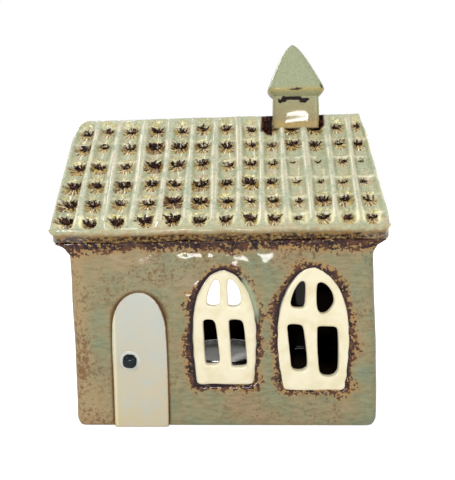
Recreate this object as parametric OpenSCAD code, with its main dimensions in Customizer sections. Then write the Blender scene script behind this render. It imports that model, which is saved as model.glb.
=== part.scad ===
// A pottery house that shelters one tealight.
// It is luted together from rolled clay slabs and coils, then glazed and fired.
// Millimetres, +Z up. The origin is the middle of the base, and the front wall faces -Y.

/* [House] */
// Width of the house across its front wall
house_w = 129.4; // [124:0.2:140]
// Depth of the house over its front and back walls
house_d = 82; // [76:1:96]
// Height of the front wall's face up to the underside of the roof
wall_h = 81.8; // [80:0.2:96]
// Thickness of the wall slabs
wall_t = 5.5; // [4.5:0.5:7]
// Radius of the four upright corners
corner_r = 5; // [2:0.5:7]
// Radius of the bottom corners, seen from the front
foot_r = 4; // [1:0.5:6]
// Radius of the bottom edges of the front and back walls
foot_edge_r = 2; // [0.5:0.5:3]

/* [Floor] */
// Thickness of the floor slab
floor_t = 7; // [5:0.5:9]
// Depth of the hollow foot under the floor slab
foot_h = 5; // [3:0.5:6]

/* [Roof] */
// Angle of the roof slopes to the level
roof_pitch = 47; // [42:1:50]
// Thickness of the roof slabs under the tile relief
roof_slab_t = 4.3; // [3:0.1:6]
// Height of the tile relief from the slab to the crests of the ribs
relief_h = 3.2; // [2.4:0.1:4]
// Level distance from the front wall's face to the tip of the eave
eave_out = 7.4; // [6:0.2:10]
// Distance from the gable wall's face to the end of the roof
gable_out = 5.9; // [3:0.1:8]
// Radius of the rounded ridge
ridge_r = 3; // [1:0.5:5]
// Radius of the ends of the ridge, seen from the front
ridge_end_r = 4.5; // [1:0.5:6]
// Radius of the corners of the eaves, seen square to the slope
eave_corner_r = 4; // [1:0.5:6]
// Radius of the upper edge of the eaves
eave_edge_r = 2.2; // [0.6:0.2:3]
// Radius of the upper edges at the ends of the roof
side_edge_r = 1.4; // [0.4:0.2:2]

/* [Tiles] */
// Number of troughs along the roof
trough_count = 13; // [11:1:14]
// Width of a trough between its ribs
trough_w = 7.2; // [6:0.1:7.8]
// Depth of a trough below the shoulders of its tiles
trough_depth = 1.5; // [1:0.1:1.6]
// Width of the rim at each end of the roof
side_rim_w = 2.4; // [1.2:0.1:2.6]
// Length of a course of tiles down the slope
course_len = 10.9; // [9:0.1:14]
// Length of the bottom course, from its head to the tip of the eave
bottom_course_len = 8.8; // [8:0.1:12]
// Height of the step from one course down to the next
course_step = 1.2; // [0.6:0.1:1.2]
// Drop from the crest of a rib to the shoulder of a tile's lower end
shoulder_drop = 0.4; // [0.2:0.1:0.5]
// Width of the rim that closes the troughs along the eave
eave_rim_w = 2.4; // [1.8:0.1:3]

/* [Eave coils] */
// Reach of the coil under an eave from the wall's face
eave_coil_out = 1.5; // [1:0.1:1.6]
// Radius of the hollow face of the coil under an eave
eave_coil_r = 6; // [4:0.5:9]
// Reach of the coil under the end of the roof from the gable wall's face
gable_coil_out = 4.4; // [2:0.2:4.4]
// Radius of the hollow face of the coil under the end of the roof
gable_coil_r = 8; // [5:0.5:9]
// Height of the blunt upper edge of the coils
coil_lip = 0.6; // [0.3:0.1:1]

/* [Chimney] */
// Distance from the right end of the roof to the middle of the chimney
chimney_from_end = 35.7; // [25:0.1:60]
// Width of the chimney shaft
shaft_w = 21.6; // [16:0.2:24]
// Depth of the chimney shaft
shaft_d = 14; // [12:0.2:18]
// Height of the chimney shaft above the ridge
shaft_h = 8.4; // [5:0.2:14]
// Radius of the upright corners of the chimney shaft
shaft_corner_r = 3; // [1:0.5:4]
// Reach of the cap beyond the shaft on each side
cap_out = 2.3; // [1:0.1:3.5]
// Height of the sloping underside of the cap
cap_lip_h = 3.8; // [1:0.1:4]
// Height of the cap's slopes
cap_h = 20.7; // [16:0.1:28]
// Radius of the cap's tip
cap_tip_r = 2.5; // [1:0.1:3.5]

/* [Windows] */
// Width of the left window
left_window_w = 27; // [24:0.5:28]
// Height of the left window
left_window_h = 49; // [42:0.5:50]
// Height of the left window's sill above the base
left_window_sill = 18.4; // [15:0.2:19]
// Depth of the left window's face behind the wall's face
left_window_recess = 1.4; // [0.2:0.1:1.5]
// Width of the right window
right_window_w = 29.5; // [25:0.5:30]
// Height of the right window
right_window_h = 52; // [44:0.5:52.5]
// Height of the right window's sill above the base
right_window_sill = 16.2; // [14:0.2:17]
// Depth of the right window's face behind the wall's face
right_window_recess = 0.4; // [0.2:0.1:1.5]
// Distance from the right side of the house to the right window
window_from_side = 10.7; // [8:0.1:11.5]
// Width of the wall between the two windows
window_gap = 9.4; // [8:0.2:10]
// Thickness of the window slabs
window_t = 4; // [3:0.5:4]
// Height of a window's rounded head
window_head_h = 25; // [20:0.5:30]
// Height of the middle of the level bar above the sill
level_bar_z = 30.6; // [27:0.2:34]
// Width of a window's frame at its sides and top
frame_w = 4.5; // [3.5:0.1:5.5]
// Height of a window's frame at its bottom
frame_bottom_h = 7.4; // [5:0.2:9]
// Width of the upright bar between the panes
upright_bar_w = 4.9; // [3.5:0.1:6]
// Height of the level bar between the panes
level_bar_h = 6.6; // [4:0.1:8]
// Radius of the corners of the lower panes
pane_r = 1.4; // [0.5:0.1:1.8]
// Glaze-filled gap round a window
window_fit = 0.15; // [0.05:0.05:0.3]

/* [Door] */
// Width of the door
door_w = 23.5; // [20:0.5:26]
// Height of the door
door_h = 57.6; // [48:0.2:64]
// Height of the door's foot above the base
door_foot = 0.9; // [0.5:0.1:2]
// Distance from the left side of the house to the door
door_from_side = 18.3; // [12:0.1:18.5]
// Thickness of the door slab
door_t = 3; // [2:0.1:4]
// Depth of the pocket that the door is pressed into
door_pocket = 2; // [1:0.1:2.5]
// Width of the groove round the door
door_fit = 0.3; // [0.1:0.05:0.5]

/* [Door knob] */
// Radius of the knob
knob_r = 2.9; // [2:0.1:3.5]
// Height of the knob above the face of the door
knob_h = 3; // [2:0.1:4]
// Radius of the pressed foot of the knob
knob_foot_r = 4.2; // [3.6:0.1:5]
// Thickness of the pressed foot of the knob
knob_foot_t = 0.6; // [0.3:0.1:1]
// Distance from the door's left side to the middle of the knob
knob_from_side = 7.7; // [6:0.1:12]
// Height of the knob above the base
knob_z = 29.6; // [20:0.2:40]

/* [Rear opening] */
// Width of the opening in the back wall
rear_w = 48; // [46:0.5:54]
// Height of the opening in the back wall
rear_h = 44; // [42:0.5:46]
// Height of the rear sill above the base
rear_sill = 30.5; // [28:0.5:31]
// Radius of the bottom corners of the rear opening
rear_corner_r = 5; // [2:0.5:8]

/* [Tealight] */
// Outer radius of the cup's rim
cup_r = 19; // [17:0.1:20]
// Height of the cup
cup_h = 14.8; // [12:0.1:16]
// Thickness of the cup's sheet
cup_t = 0.35; // [0.2:0.05:0.6]
// Narrowing of the cup's radius from rim to base
cup_taper = 0.4; // [0:0.1:1]
// Radius of the rolled rim
rim_r = 0.5; // [0.35:0.05:0.8]
// Space between the cup and the front wall
cup_front_gap = 1.5; // [0.8:0.1:3]
// Clearance under the cup
cup_rest_gap = 0.2; // [0.1:0.05:0.3]
// Drop from the cup's rim to the top of the wax
wax_drop = 2.2; // [1:0.1:4]
// Clearance between the wax and the cup, and round the wick tab
wax_fit = 0.1; // [0.05:0.05:0.2]
// Radius of the wick
wick_r = 0.8; // [0.5:0.05:1.2]
// Height of the wick above the wax
wick_out = 5; // [3:0.5:10]
// Radius of the wick tab
tab_r = 6; // [4:0.5:8]
// Thickness of the wick tab's sheet
tab_t = 0.4; // [0.2:0.1:0.6]
// Height of the wick tab's neck
tab_neck_h = 3; // [2:0.5:5]
// Thickness of the wall of the wick tab's neck
tab_neck_t = 0.5; // [0.3:0.1:0.8]
// Clearance between the wick and its tab and wax
wick_fit = 0.05; // [0.02:0.01:0.1]

/* [Hidden] */
$fn = 96;
eps = 0.01;
far = 400;
head_arc_step = 7.5;

half_w = house_w / 2;
half_d = house_d / 2;
corner_used_r = min(corner_r, wall_t);
floor_top = foot_h + floor_t;

roof_t = roof_slab_t + relief_h;
roof_len = house_w + 2 * gable_out;
half_roof = roof_len / 2;
slope_len = (half_d + eave_out) / cos(roof_pitch);
apex_z = wall_h + half_d * tan(roof_pitch) + roof_t / cos(roof_pitch);
ridge_centre_z = apex_z - ridge_r / cos(roof_pitch);
ridge_z = ridge_centre_z + ridge_r;

trough_pitch = (roof_len - 2 * side_rim_w - trough_w) / (trough_count - 1);
trough_r = (pow(trough_w / 2, 2) + pow(trough_depth, 2)) / (2 * trough_depth);
rib_overlap = 0.15;
rib_r = (trough_pitch - trough_w) / 2 + rib_overlap;
course_count = 1 + ceil((slope_len - bottom_course_len) / course_len);
tile_root = 2;

chimney_x = half_roof - chimney_from_end;
shaft_top_z = ridge_z + shaft_h;
shaft_seat_margin = 0.6;

right_window_x = half_w - window_from_side - right_window_w / 2;
left_window_x = right_window_x - right_window_w / 2 - window_gap - left_window_w / 2;
door_x = -half_w + door_from_side + door_w / 2;
door_face_y = -half_d + door_pocket - door_t;
knob_x = door_x - door_w / 2 + knob_from_side;

cup_y = -half_d + wall_t + cup_front_gap + cup_r;
cup_z = floor_top + cup_rest_gap;
wax_top = cup_h - wax_drop;
tab_neck_r = wick_r + wick_fit + tab_neck_t;

wall_colour = [0.60, 0.56, 0.44];
roof_colour = [0.73, 0.74, 0.62];
coil_colour = [0.38, 0.29, 0.18];
cream_colour = [0.95, 0.93, 0.82];
door_colour = [0.81, 0.80, 0.73];
knob_colour = [0.09, 0.12, 0.14];
aluminium_colour = [0.80, 0.81, 0.82];
wax_colour = [0.96, 0.95, 0.91];
steel_colour = [0.62, 0.62, 0.60];
cotton_colour = [0.90, 0.87, 0.78];

// ---- Shared shapes

// A cell of r by r with a round bite, which rounds off a square corner at the origin
module corner_bite(r) {
    difference() {
        translate([-eps, -eps]) square([r + eps, r + eps]);
        translate([r, r]) circle(r);
    }
}

// A rectangle with all four corners rounded, from the origin
module rounded_rect(w, h, r) {
    difference() {
        square([w, h]);
        for (i = [0, 1], j = [0, 1])
            translate([i * w, j * h]) mirror([i, 0]) mirror([0, j]) corner_bite(r);
    }
}

// A rectangle on the X axis whose two bottom corners are rounded
module footed_rect(w, h, r) {
    difference() {
        translate([-w / 2, 0]) square([w, h]);
        for (side = [0, 1]) mirror([side, 0]) translate([-w / 2, 0]) corner_bite(r);
    }
}

// Lays a flat outline drawn in X and Z upright, through the thickness from y0 to y1
module upright(y0, y1) {
    translate([0, y1, 0]) rotate([90, 0, 0]) linear_extrude(y1 - y0) children();
}

// Lays an outline drawn in Y and Z along X, over the length from x0 to x1
module lengthwise(x0, x1) {
    translate([x0, 0, 0]) rotate([90, 0, 90]) linear_extrude(x1 - x0) children();
}

// The frame of the front slope: +Y up the slope, +Z out of it, the apex line at the origin
module on_front_slope() {
    translate([0, 0, apex_z]) rotate([roof_pitch, 0, 0]) children();
}

// The gable outline in Y and Z, down to the bottom, of everything more than depth under the roof face
module gable_outline(depth) {
    top = apex_z - depth / cos(roof_pitch);
    foot_y = top / tan(roof_pitch);
    polygon([[-foot_y, 0], [foot_y, 0], [0, top]]);
}

// ---- Walls and floor

// The upright block between the faces of the four walls, taller than the house
module body_prism() {
    intersection() {
        translate([-half_w, -half_d, 0]) cube([house_w, house_d, far]);
        upright(-far, far) footed_rect(house_w, far, foot_r);
        lengthwise(-far, far) footed_rect(house_d, far, foot_edge_r);
        linear_extrude(far) difference() {
            square([house_w, house_d], center = true);
            for (i = [0, 1], j = [0, 1]) mirror([i, 0]) mirror([0, j])
                translate([-half_w, -half_d]) corner_bite(corner_used_r);
        }
    }
}

// The whole body under the roof as one block
module body_block() {
    intersection() {
        body_prism();
        lengthwise(-far, far) gable_outline(roof_t);
    }
}

// The front wall before its windows and door are cut
module front_blank() {
    intersection() {
        body_block();
        translate([-far, -far, 0]) cube([2 * far, far - half_d + wall_t, far]);
    }
}

// A window's outline: straight sides under a rounded head, on the X axis
module window_outline(w, h, inset = 0) {
    half = w / 2 - inset;
    rise = window_head_h - inset;
    arc = [for (a = [0 : head_arc_step : 180]) [half * cos(a), h - window_head_h + rise * sin(a)]];
    polygon(concat([[-half, 0], [half, 0]], arc));
}

module front_wall() {
    color(wall_colour) difference() {
        front_blank();
        translate([left_window_x, 0, left_window_sill])
            upright(-half_d - eps, -half_d + wall_t + eps)
                window_outline(left_window_w, left_window_h);
        translate([right_window_x, 0, right_window_sill])
            upright(-half_d - eps, -half_d + wall_t + eps)
                window_outline(right_window_w, right_window_h);
        translate([door_x, 0, door_foot - door_fit])
            upright(-half_d - eps, -half_d + door_pocket)
                door_outline(door_w + 2 * door_fit, door_h + 2 * door_fit);
    }
}

// The rear opening's outline: an arch with rounded bottom corners
module rear_outline() {
    r = rear_w / 2;
    intersection() {
        footed_rect(rear_w, rear_h, rear_corner_r);
        union() {
            translate([-r, 0]) square([rear_w, rear_h - r]);
            translate([0, rear_h - r]) circle(r);
        }
    }
}

module back_wall() {
    color(wall_colour) difference() {
        mirror([0, 1, 0]) front_blank();
        translate([0, 0, rear_sill]) upright(half_d - wall_t - eps, half_d + eps) rear_outline();
    }
}

module left_gable_wall() {
    color(wall_colour) intersection() {
        body_block();
        translate([-half_w, -half_d + wall_t, 0]) cube([wall_t, house_d - 2 * wall_t, far]);
    }
}

module right_gable_wall() {
    color(wall_colour) mirror([1, 0, 0]) left_gable_wall();
}

module floor_slab() {
    color(wall_colour) translate([-half_w + wall_t, -half_d + wall_t, foot_h])
        cube([house_w - 2 * wall_t, house_d - 2 * wall_t, floor_t]);
}

// ---- Roof

function trough_x(i) = (i - (trough_count - 1) / 2) * trough_pitch;

// One course of tiles, laid from its head down to its lower end, thicker at the lower end
module tile_course(head_s, len) {
    tilt = asin(course_step / course_len);
    head_z = -shoulder_drop - course_step;
    translate([0, -head_s, head_z]) rotate([90 - tilt, 0, 0]) linear_extrude(len) difference() {
        translate([-half_roof + side_rim_w / 2, -tile_root - relief_h + shoulder_drop + course_step])
            square([roof_len - side_rim_w, tile_root + relief_h - shoulder_drop - course_step]);
        for (i = [0 : trough_count - 1])
            translate([trough_x(i), trough_r - trough_depth]) circle(trough_r);
    }
}

// A half-round rib up the slope at x
module rib(x) {
    translate([x, -slope_len, -rib_r]) rotate([-90, 0, 0]) cylinder(r = rib_r, h = slope_len);
}

// The plain rim at the left end of the slope
module side_rim() {
    translate([-half_roof, -slope_len, -relief_h - eps]) cube([side_rim_w, slope_len, relief_h + eps]);
}

// The rim that closes each trough in a U along the eave
module eave_rim() {
    depth = eave_rim_w + trough_w / 2;
    rim_h = relief_h + eps - shoulder_drop;
    difference() {
        translate([-half_roof, -slope_len, -relief_h - eps]) cube([roof_len, depth, rim_h]);
        for (i = [0 : trough_count - 1])
            translate([trough_x(i), -slope_len + depth, -far]) cylinder(r = trough_w / 2, h = 2 * far);
    }
}

// The roll of clay along the ridge
module ridge_roll() {
    lengthwise(-half_roof, half_roof) translate([0, ridge_centre_z]) circle(ridge_r);
}

// What the hand rounds off one slope: its eave, ends and corners, the ridge and its ends
module roof_rounding() {
    on_front_slope() {
        translate([0, -slope_len, 0]) mirror([0, 0, 1]) lengthwise(-far, far) corner_bite(eave_edge_r);
        for (side = [0, 1]) mirror([side, 0, 0]) {
            translate([-half_roof, -slope_len, -far]) linear_extrude(2 * far) corner_bite(eave_corner_r);
            translate([-half_roof, 0, 0]) upright(-far, far) mirror([0, 1]) corner_bite(side_edge_r);
        }
    }
    lengthwise(-far, far) difference() {
        tangent_y = ridge_r * sin(roof_pitch);
        tangent_z = ridge_centre_z + ridge_r * cos(roof_pitch);
        translate([-tangent_y, tangent_z]) square([2 * tangent_y, apex_z + eps - tangent_z]);
        translate([0, ridge_centre_z]) circle(ridge_r);
    }
    upright(-far, far) for (side = [0, 1]) mirror([side, 0])
        translate([-half_roof, ridge_z]) mirror([0, 1]) corner_bite(ridge_end_r);
}

module front_roof() {
    seat_len = (shaft_d / 2 + shaft_seat_margin) / cos(roof_pitch);
    seat_w = shaft_w + 2 * shaft_seat_margin;
    color(roof_colour) difference() {
        union() {
            ridge_roll();
            on_front_slope() {
                translate([-half_roof, -slope_len, -roof_t]) cube([roof_len, slope_len, roof_slab_t]);
                tile_course(slope_len - bottom_course_len, bottom_course_len);
                for (k = [1 : course_count - 1])
                    tile_course(slope_len - bottom_course_len - k * course_len, course_len);
                for (i = [0 : trough_count - 2]) rib(trough_x(i) + trough_pitch / 2);
                for (side = [0, 1]) mirror([side, 0, 0]) side_rim();
                eave_rim();
                translate([chimney_x - seat_w / 2, -seat_len, -roof_t / 2])
                    cube([seat_w, seat_len, roof_t / 2]);
            }
        }
        roof_rounding();
        translate([-far, 0, 0]) cube([2 * far, far, far]);
    }
}

module rear_roof() {
    color(roof_colour) mirror([0, 1, 0]) front_roof();
}

// ---- Coils that fill the angle between the walls and the roof

// The coil's section: the wall on the left, the roof's underside above, and a hollow face.
// A section that only cuts is raised past the roof's underside by the cover.
module coil_section(out, r, fall, cover = 0) {
    rise = sqrt(pow(r, 2) - pow(r - out, 2));
    low = -out * fall - coil_lip - rise;
    difference() {
        polygon([[-corner_used_r, corner_used_r * fall + cover], [out, -out * fall + cover],
                 [out, low], [-corner_used_r, low]]);
        translate([r, low]) circle(r);
    }
}

// The bar under the front eave, before the walls are cut out of it
module front_eave_bar(cover = 0) {
    lengthwise(-half_w, half_w) translate([-half_d, wall_h]) mirror([1, 0])
        coil_section(eave_coil_out, eave_coil_r, tan(roof_pitch), cover);
}

module front_eave_coil() {
    color(coil_colour) difference() {
        front_eave_bar();
        body_prism();
    }
}

module rear_eave_coil() {
    color(coil_colour) mirror([0, 1, 0]) front_eave_coil();
}

// The half of the left coil that lies under the front slope
module left_front_gable_coil() {
    difference() {
        intersection() {
            on_front_slope() translate([-half_w, roof_t * 2, -roof_t]) rotate([90, 0, 0])
                linear_extrude(slope_len + roof_t * 2)
                    mirror([1, 0]) coil_section(gable_coil_out, gable_coil_r, 0);
            translate([-far, -half_d - eave_coil_out, 0]) cube([2 * far, half_d + eave_coil_out, far]);
        }
        body_prism();
        front_eave_bar(roof_t);
    }
}

module left_gable_coil() {
    color(coil_colour) for (side = [0, 1]) mirror([0, side, 0]) left_front_gable_coil();
}

module right_gable_coil() {
    color(coil_colour) mirror([1, 0, 0]) left_gable_coil();
}

// ---- Chimney

module chimney_shaft() {
    color(roof_colour) translate([chimney_x, 0, 0]) difference() {
        linear_extrude(shaft_top_z) difference() {
            square([shaft_w, shaft_d], center = true);
            for (i = [0, 1], j = [0, 1]) mirror([i, 0]) mirror([0, j])
                translate([-shaft_w / 2, -shaft_d / 2]) corner_bite(shaft_corner_r);
        }
        lengthwise(-far, far) difference() {
            gable_outline(0);
            translate([-far, ridge_centre_z + ridge_r * cos(roof_pitch)]) square(2 * far);
        }
        lengthwise(-far, far) translate([0, ridge_centre_z]) circle(ridge_r);
    }
}

// The cap's face seen from one side: a blunt lip, then slopes that run into a round tip
module cap_face(shaft, out) {
    half = shaft / 2 + out;
    tip_z = cap_lip_h + cap_h - cap_tip_r;
    drop = tip_z - cap_lip_h;
    angle = acos(cap_tip_r / norm([half, drop])) - atan2(drop, half);
    touch_x = cap_tip_r * cos(angle);
    touch_z = tip_z + cap_tip_r * sin(angle);
    polygon([[-shaft / 2, 0], [shaft / 2, 0], [half, cap_lip_h], [touch_x, touch_z],
             [-touch_x, touch_z], [-half, cap_lip_h]]);
    translate([0, tip_z]) circle(cap_tip_r);
}

module chimney_cap() {
    color(roof_colour) translate([chimney_x, 0, shaft_top_z]) intersection() {
        upright(-far, far) cap_face(shaft_w, cap_out);
        lengthwise(-far, far) cap_face(shaft_d, cap_out);
    }
}

// ---- Windows and door

// One window slab, cut to the wall's opening and standing on its sill
module window_slab(w, h) {
    half_bar = upright_bar_w / 2;
    pane_w = w / 2 - frame_w - half_bar;
    lower_pane_h = level_bar_z - level_bar_h / 2 - frame_bottom_h;
    difference() {
        window_outline(w, h, window_fit);
        for (side = [0, 1]) mirror([side, 0]) {
            translate([half_bar, frame_bottom_h]) rounded_rect(pane_w, lower_pane_h, pane_r);
            intersection() {
                window_outline(w, h, frame_w);
                translate([half_bar, level_bar_z + level_bar_h / 2]) square([w, h]);
            }
        }
    }
}

module left_window() {
    color(cream_colour) translate([left_window_x, 0, left_window_sill])
        upright(-half_d + left_window_recess, -half_d + left_window_recess + window_t)
            window_slab(left_window_w, left_window_h);
}

module right_window() {
    color(cream_colour) translate([right_window_x, 0, right_window_sill])
        upright(-half_d + right_window_recess, -half_d + right_window_recess + window_t)
            window_slab(right_window_w, right_window_h);
}

// A door's outline: square foot, half-round head
module door_outline(w, h) {
    translate([-w / 2, 0]) square([w, h - w / 2]);
    translate([0, h - w / 2]) circle(w / 2);
}

module door() {
    color(door_colour) translate([door_x, 0, door_foot])
        upright(door_face_y, door_face_y + door_t) door_outline(door_w, door_h);
}

// The knob: a pellet of clay with a pressed foot, on the door's face
module door_knob() {
    color(knob_colour) translate([knob_x, door_face_y, knob_z]) rotate([90, 0, 0]) rotate_extrude() {
        square([knob_foot_r, knob_foot_t]);
        intersection() {
            translate([0, knob_h - knob_r]) circle(knob_r);
            square([knob_r, knob_h]);
        }
        square([knob_r, max(knob_h - knob_r, knob_foot_t)]);
    }
}

// ---- Tealight

module in_cup() {
    translate([0, cup_y, cup_z]) children();
}

// The cup's inner radius at height z
function cup_inner_r(z) = cup_r - rim_r - cup_taper * (1 - z / cup_h) - cup_t;

module tealight_cup() {
    base_r = cup_inner_r(0) + cup_t;
    top_r = cup_inner_r(cup_h) + cup_t;
    top_z = cup_h - rim_r;
    color(aluminium_colour) in_cup() rotate_extrude() {
        polygon([[0, 0], [base_r, 0], [top_r, top_z], [top_r - cup_t, top_z],
                 [base_r - cup_t, cup_t], [0, cup_t]]);
        translate([cup_r - rim_r, top_z]) circle(rim_r, $fn = 32);
    }
}

module tealight_wax() {
    bore_r = tab_neck_r + wax_fit;
    color(wax_colour) in_cup() rotate_extrude()
        polygon([[tab_r + wax_fit, cup_t], [cup_inner_r(0) - wax_fit, cup_t],
                 [cup_inner_r(wax_top) - wax_fit, wax_top],
                 [wick_r + wick_fit, wax_top], [wick_r + wick_fit, cup_t + tab_neck_h + wax_fit],
                 [bore_r, cup_t + tab_neck_h + wax_fit], [bore_r, cup_t + tab_t + wax_fit],
                 [tab_r + wax_fit, cup_t + tab_t + wax_fit]]);
}

module wick_tab() {
    color(steel_colour) in_cup() translate([0, 0, cup_t]) rotate_extrude()
        polygon([[wick_r + wick_fit, 0], [tab_r, 0], [tab_r, tab_t], [tab_neck_r, tab_t],
                 [tab_neck_r, tab_neck_h], [wick_r + wick_fit, tab_neck_h]]);
}

module tealight_wick() {
    color(cotton_colour) in_cup() translate([0, 0, cup_t])
        cylinder(r = wick_r, h = wax_top + wick_out - cup_t);
}

front_wall();
back_wall();
left_gable_wall();
right_gable_wall();
floor_slab();
front_roof();
rear_roof();
front_eave_coil();
rear_eave_coil();
left_gable_coil();
right_gable_coil();
chimney_shaft();
chimney_cap();
left_window();
right_window();
door();
door_knob();
tealight_cup();
tealight_wax();
wick_tab();
tealight_wick();
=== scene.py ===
# %% [markdown]
# # A pottery house for one tealight
# The real object is a small house, hand-built from slabs and coils of stoneware clay, glazed and fired.
# Walls, coils and floor end up as one body under one running glaze. The roof, the windows and the door
# are slabs of their own, each glazed in another colour. Loose inside stands an aluminium tealight.
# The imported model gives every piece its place, and this lesson gives the pieces their fired look.

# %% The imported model
import math

import bpy
import bmesh
import numpy as np
from mathutils import Matrix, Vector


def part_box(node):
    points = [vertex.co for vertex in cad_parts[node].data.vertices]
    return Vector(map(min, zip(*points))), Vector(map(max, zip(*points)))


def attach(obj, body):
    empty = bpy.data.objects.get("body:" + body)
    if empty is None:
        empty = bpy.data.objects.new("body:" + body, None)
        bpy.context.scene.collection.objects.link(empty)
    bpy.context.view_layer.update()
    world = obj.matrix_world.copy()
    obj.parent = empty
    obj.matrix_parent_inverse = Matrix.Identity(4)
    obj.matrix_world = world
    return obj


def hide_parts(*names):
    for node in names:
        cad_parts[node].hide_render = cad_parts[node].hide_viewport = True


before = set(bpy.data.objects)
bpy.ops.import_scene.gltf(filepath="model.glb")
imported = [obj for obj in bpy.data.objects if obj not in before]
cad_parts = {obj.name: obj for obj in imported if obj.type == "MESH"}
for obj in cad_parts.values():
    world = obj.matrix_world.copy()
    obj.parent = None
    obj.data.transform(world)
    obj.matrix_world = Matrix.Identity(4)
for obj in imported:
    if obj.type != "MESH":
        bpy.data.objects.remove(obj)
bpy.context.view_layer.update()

MM = 0.001

# %% [markdown]
# ## Camera and light
# The photograph was taken from a little above the middle of the house, close enough for the eaves to
# spread. A camera is matched by its distance first and its lens second, because only the distance
# changes the perspective. The photo's frame is 455 by 480 pixels, so its long side is the height.

# %% Camera
SENSOR = 36.0
FRAME_HIGH = 480
FOCAL_PIXELS = 620
CAMERA_AT = (15.0, -298.4, 105.5)
CAMERA_DOWN = math.radians(5.49)
CAMERA_LEFT = math.radians(2.52)
CAMERA_ROLL = math.radians(-0.88)

scene = bpy.context.scene
scene.view_settings.view_transform = "Standard"
camera_data = bpy.data.cameras.new("camera")
camera_data.sensor_width = SENSOR
camera_data.lens = SENSOR * FOCAL_PIXELS / FRAME_HIGH
camera_data.clip_start = 0.01
camera = bpy.data.objects.new("camera", camera_data)
scene.collection.objects.link(camera)
scene.camera = camera
turn = (Matrix.Rotation(CAMERA_LEFT, 4, "Z") @ Matrix.Rotation(math.pi / 2 - CAMERA_DOWN, 4, "X")
        @ Matrix.Rotation(CAMERA_ROLL, 4, "Z"))
camera.matrix_world = Matrix.Translation([c * MM for c in CAMERA_AT]) @ turn
print("lens in mm:", round(camera_data.lens, 2))


# %% [markdown]
# Colours are written as the sRGB hex values that a picture shows. Blender mixes light in linear
# numbers, so one function turns each hex value to linear.

# %% Colours and nodes
def linear(hex_colour):
    """The linear RGBA of an sRGB hex colour such as #c3cab4."""
    parts = [int(hex_colour[i:i + 2], 16) / 255 for i in (1, 3, 5)]
    return [c / 12.92 if c <= 0.04045 else ((c + 0.055) / 1.055) ** 2.4 for c in parts] + [1.0]


def set_up(node, settings=None, links=None):
    """Sets a node's properties and inputs, and links sources to its inputs. Hex colours turn linear.

    A source is an output, or a node, which then lends its first output in use.
    """
    for name, value in (settings or {}).items():
        if name == "stops":
            elements = node.color_ramp.elements
            for where, shade in value:
                elements.new(where).color = linear(shade)
            elements.remove(elements[0])
            elements.remove(elements[-1])
            continue
        if isinstance(value, str) and value.startswith("#"):
            value = linear(value)
        if isinstance(name, str) and hasattr(node, name):
            setattr(node, name, value)
        else:
            node.inputs[name].default_value = value
    for name, source in (links or {}).items():
        if isinstance(source, bpy.types.Node):
            source = next(output for output in source.outputs if output.enabled)
        node.id_data.links.new(source, node.inputs[name])
    return node


def add(tree, kind, settings=None, links=None):
    """Adds a shader node of a kind, such as Math or TexNoise, with its settings and links."""
    return set_up(tree.nodes.new("ShaderNode" + kind), settings, links)



def new_material(name):
    """An empty material: its tree, and a Principled shader that is wired to the output."""
    material = bpy.data.materials.new(name)
    material.use_nodes = True
    tree = material.node_tree
    tree.nodes.clear()
    shader = add(tree, "BsdfPrincipled")
    add(tree, "OutputMaterial", links={"Surface": shader})
    return material, tree, shader


# %% [markdown]
# ## Light
# The light is that of a product photo. Two soft lamps stand in front and two behind, and together
# they light each side so that a colour shows about as written. A glossy glaze also shows the shape
# of what lights it, so three lamps are there for their reflections: a strip overhead draws the lines
# of light down the roof's ribs, a low card leaves white flecks under the eave, and a small card the
# glare on the chimney. The background is white by its colour: the world and the floor look white to
# the camera and to reflections, and no lamp is turned up for that.

# %% Lamps
# Each lamp's place in mm, its width and height in mm, and its watts.
LAMPS = {
    "key_softbox": ((-420, -760, 620), (130, 130), 4.3),
    "fill_softbox": ((620, -560, 340), (420, 420), 2.2),
    "rear_softbox": ((-480, 620, 620), (300, 300), 4.0),
    "rear_fill": ((600, 560, 420), (420, 420), 2.4),
    "top_strip": ((-220, 0, 880), (700, 20), 1.2),
    "low_card": ((-90, -900, 32), (200, 60), 1.6),
    "chimney_card": ((84, -900, 198), (46, 30), 0.25),
}
AIM = (0, 0, 70)
for lamp_name, (place, (wide, high), watts) in LAMPS.items():
    lamp_data = bpy.data.lights.new(lamp_name, "AREA")
    lamp_data.shape = "RECTANGLE"
    lamp_data.size = wide * MM
    lamp_data.size_y = high * MM
    lamp_data.energy = watts
    lamp = bpy.data.objects.new(lamp_name, lamp_data)
    scene.collection.objects.link(lamp)
    lamp.location = [c * MM for c in place]
    away = np.array(place, float) - AIM
    across = np.hypot(away[0], away[1])
    lamp.rotation_euler = (math.atan2(across, away[2]), 0, math.atan2(away[0], -away[1]))
print("lamps:", len(LAMPS))

# %% World and floor
SKY_LEVEL = 0.36
FLOOR_SIZE = 6000
FLOOR_DROP = 0.02
FLOOR_GLOW = 0.76

world = bpy.data.worlds.new("studio")
scene.world = world
world.use_nodes = True
sky = world.node_tree
sky.nodes.clear()
rays = add(sky, "LightPath")
seen = add(sky, "Math", {"operation": "MAXIMUM"},
           {0: rays.outputs["Is Camera Ray"], 1: rays.outputs["Is Transmission Ray"]})
seen = add(sky, "Math", {"operation": "MAXIMUM"}, {0: seen, 1: rays.outputs["Is Glossy Ray"]})
level = add(sky, "MapRange", {"To Min": SKY_LEVEL}, {"Value": seen})
white = add(sky, "Background", {"Color": "#ffffff"}, {"Strength": level})
add(sky, "OutputWorld", links={"Surface": white})

half = FLOOR_SIZE / 2 * MM
corners = [(-half, -half, 0), (half, -half, 0), (half, half, 0), (-half, half, 0)]
floor_mesh = bpy.data.meshes.new("studio_floor")
floor_mesh.from_pydata(corners, [], [(0, 1, 2, 3)])
floor = bpy.data.objects.new("studio_floor", floor_mesh)
scene.collection.objects.link(floor)
floor.location.z = -FLOOR_DROP * MM
print("floor in mm:", FLOOR_SIZE, "sky level:", SKY_LEVEL)

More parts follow.
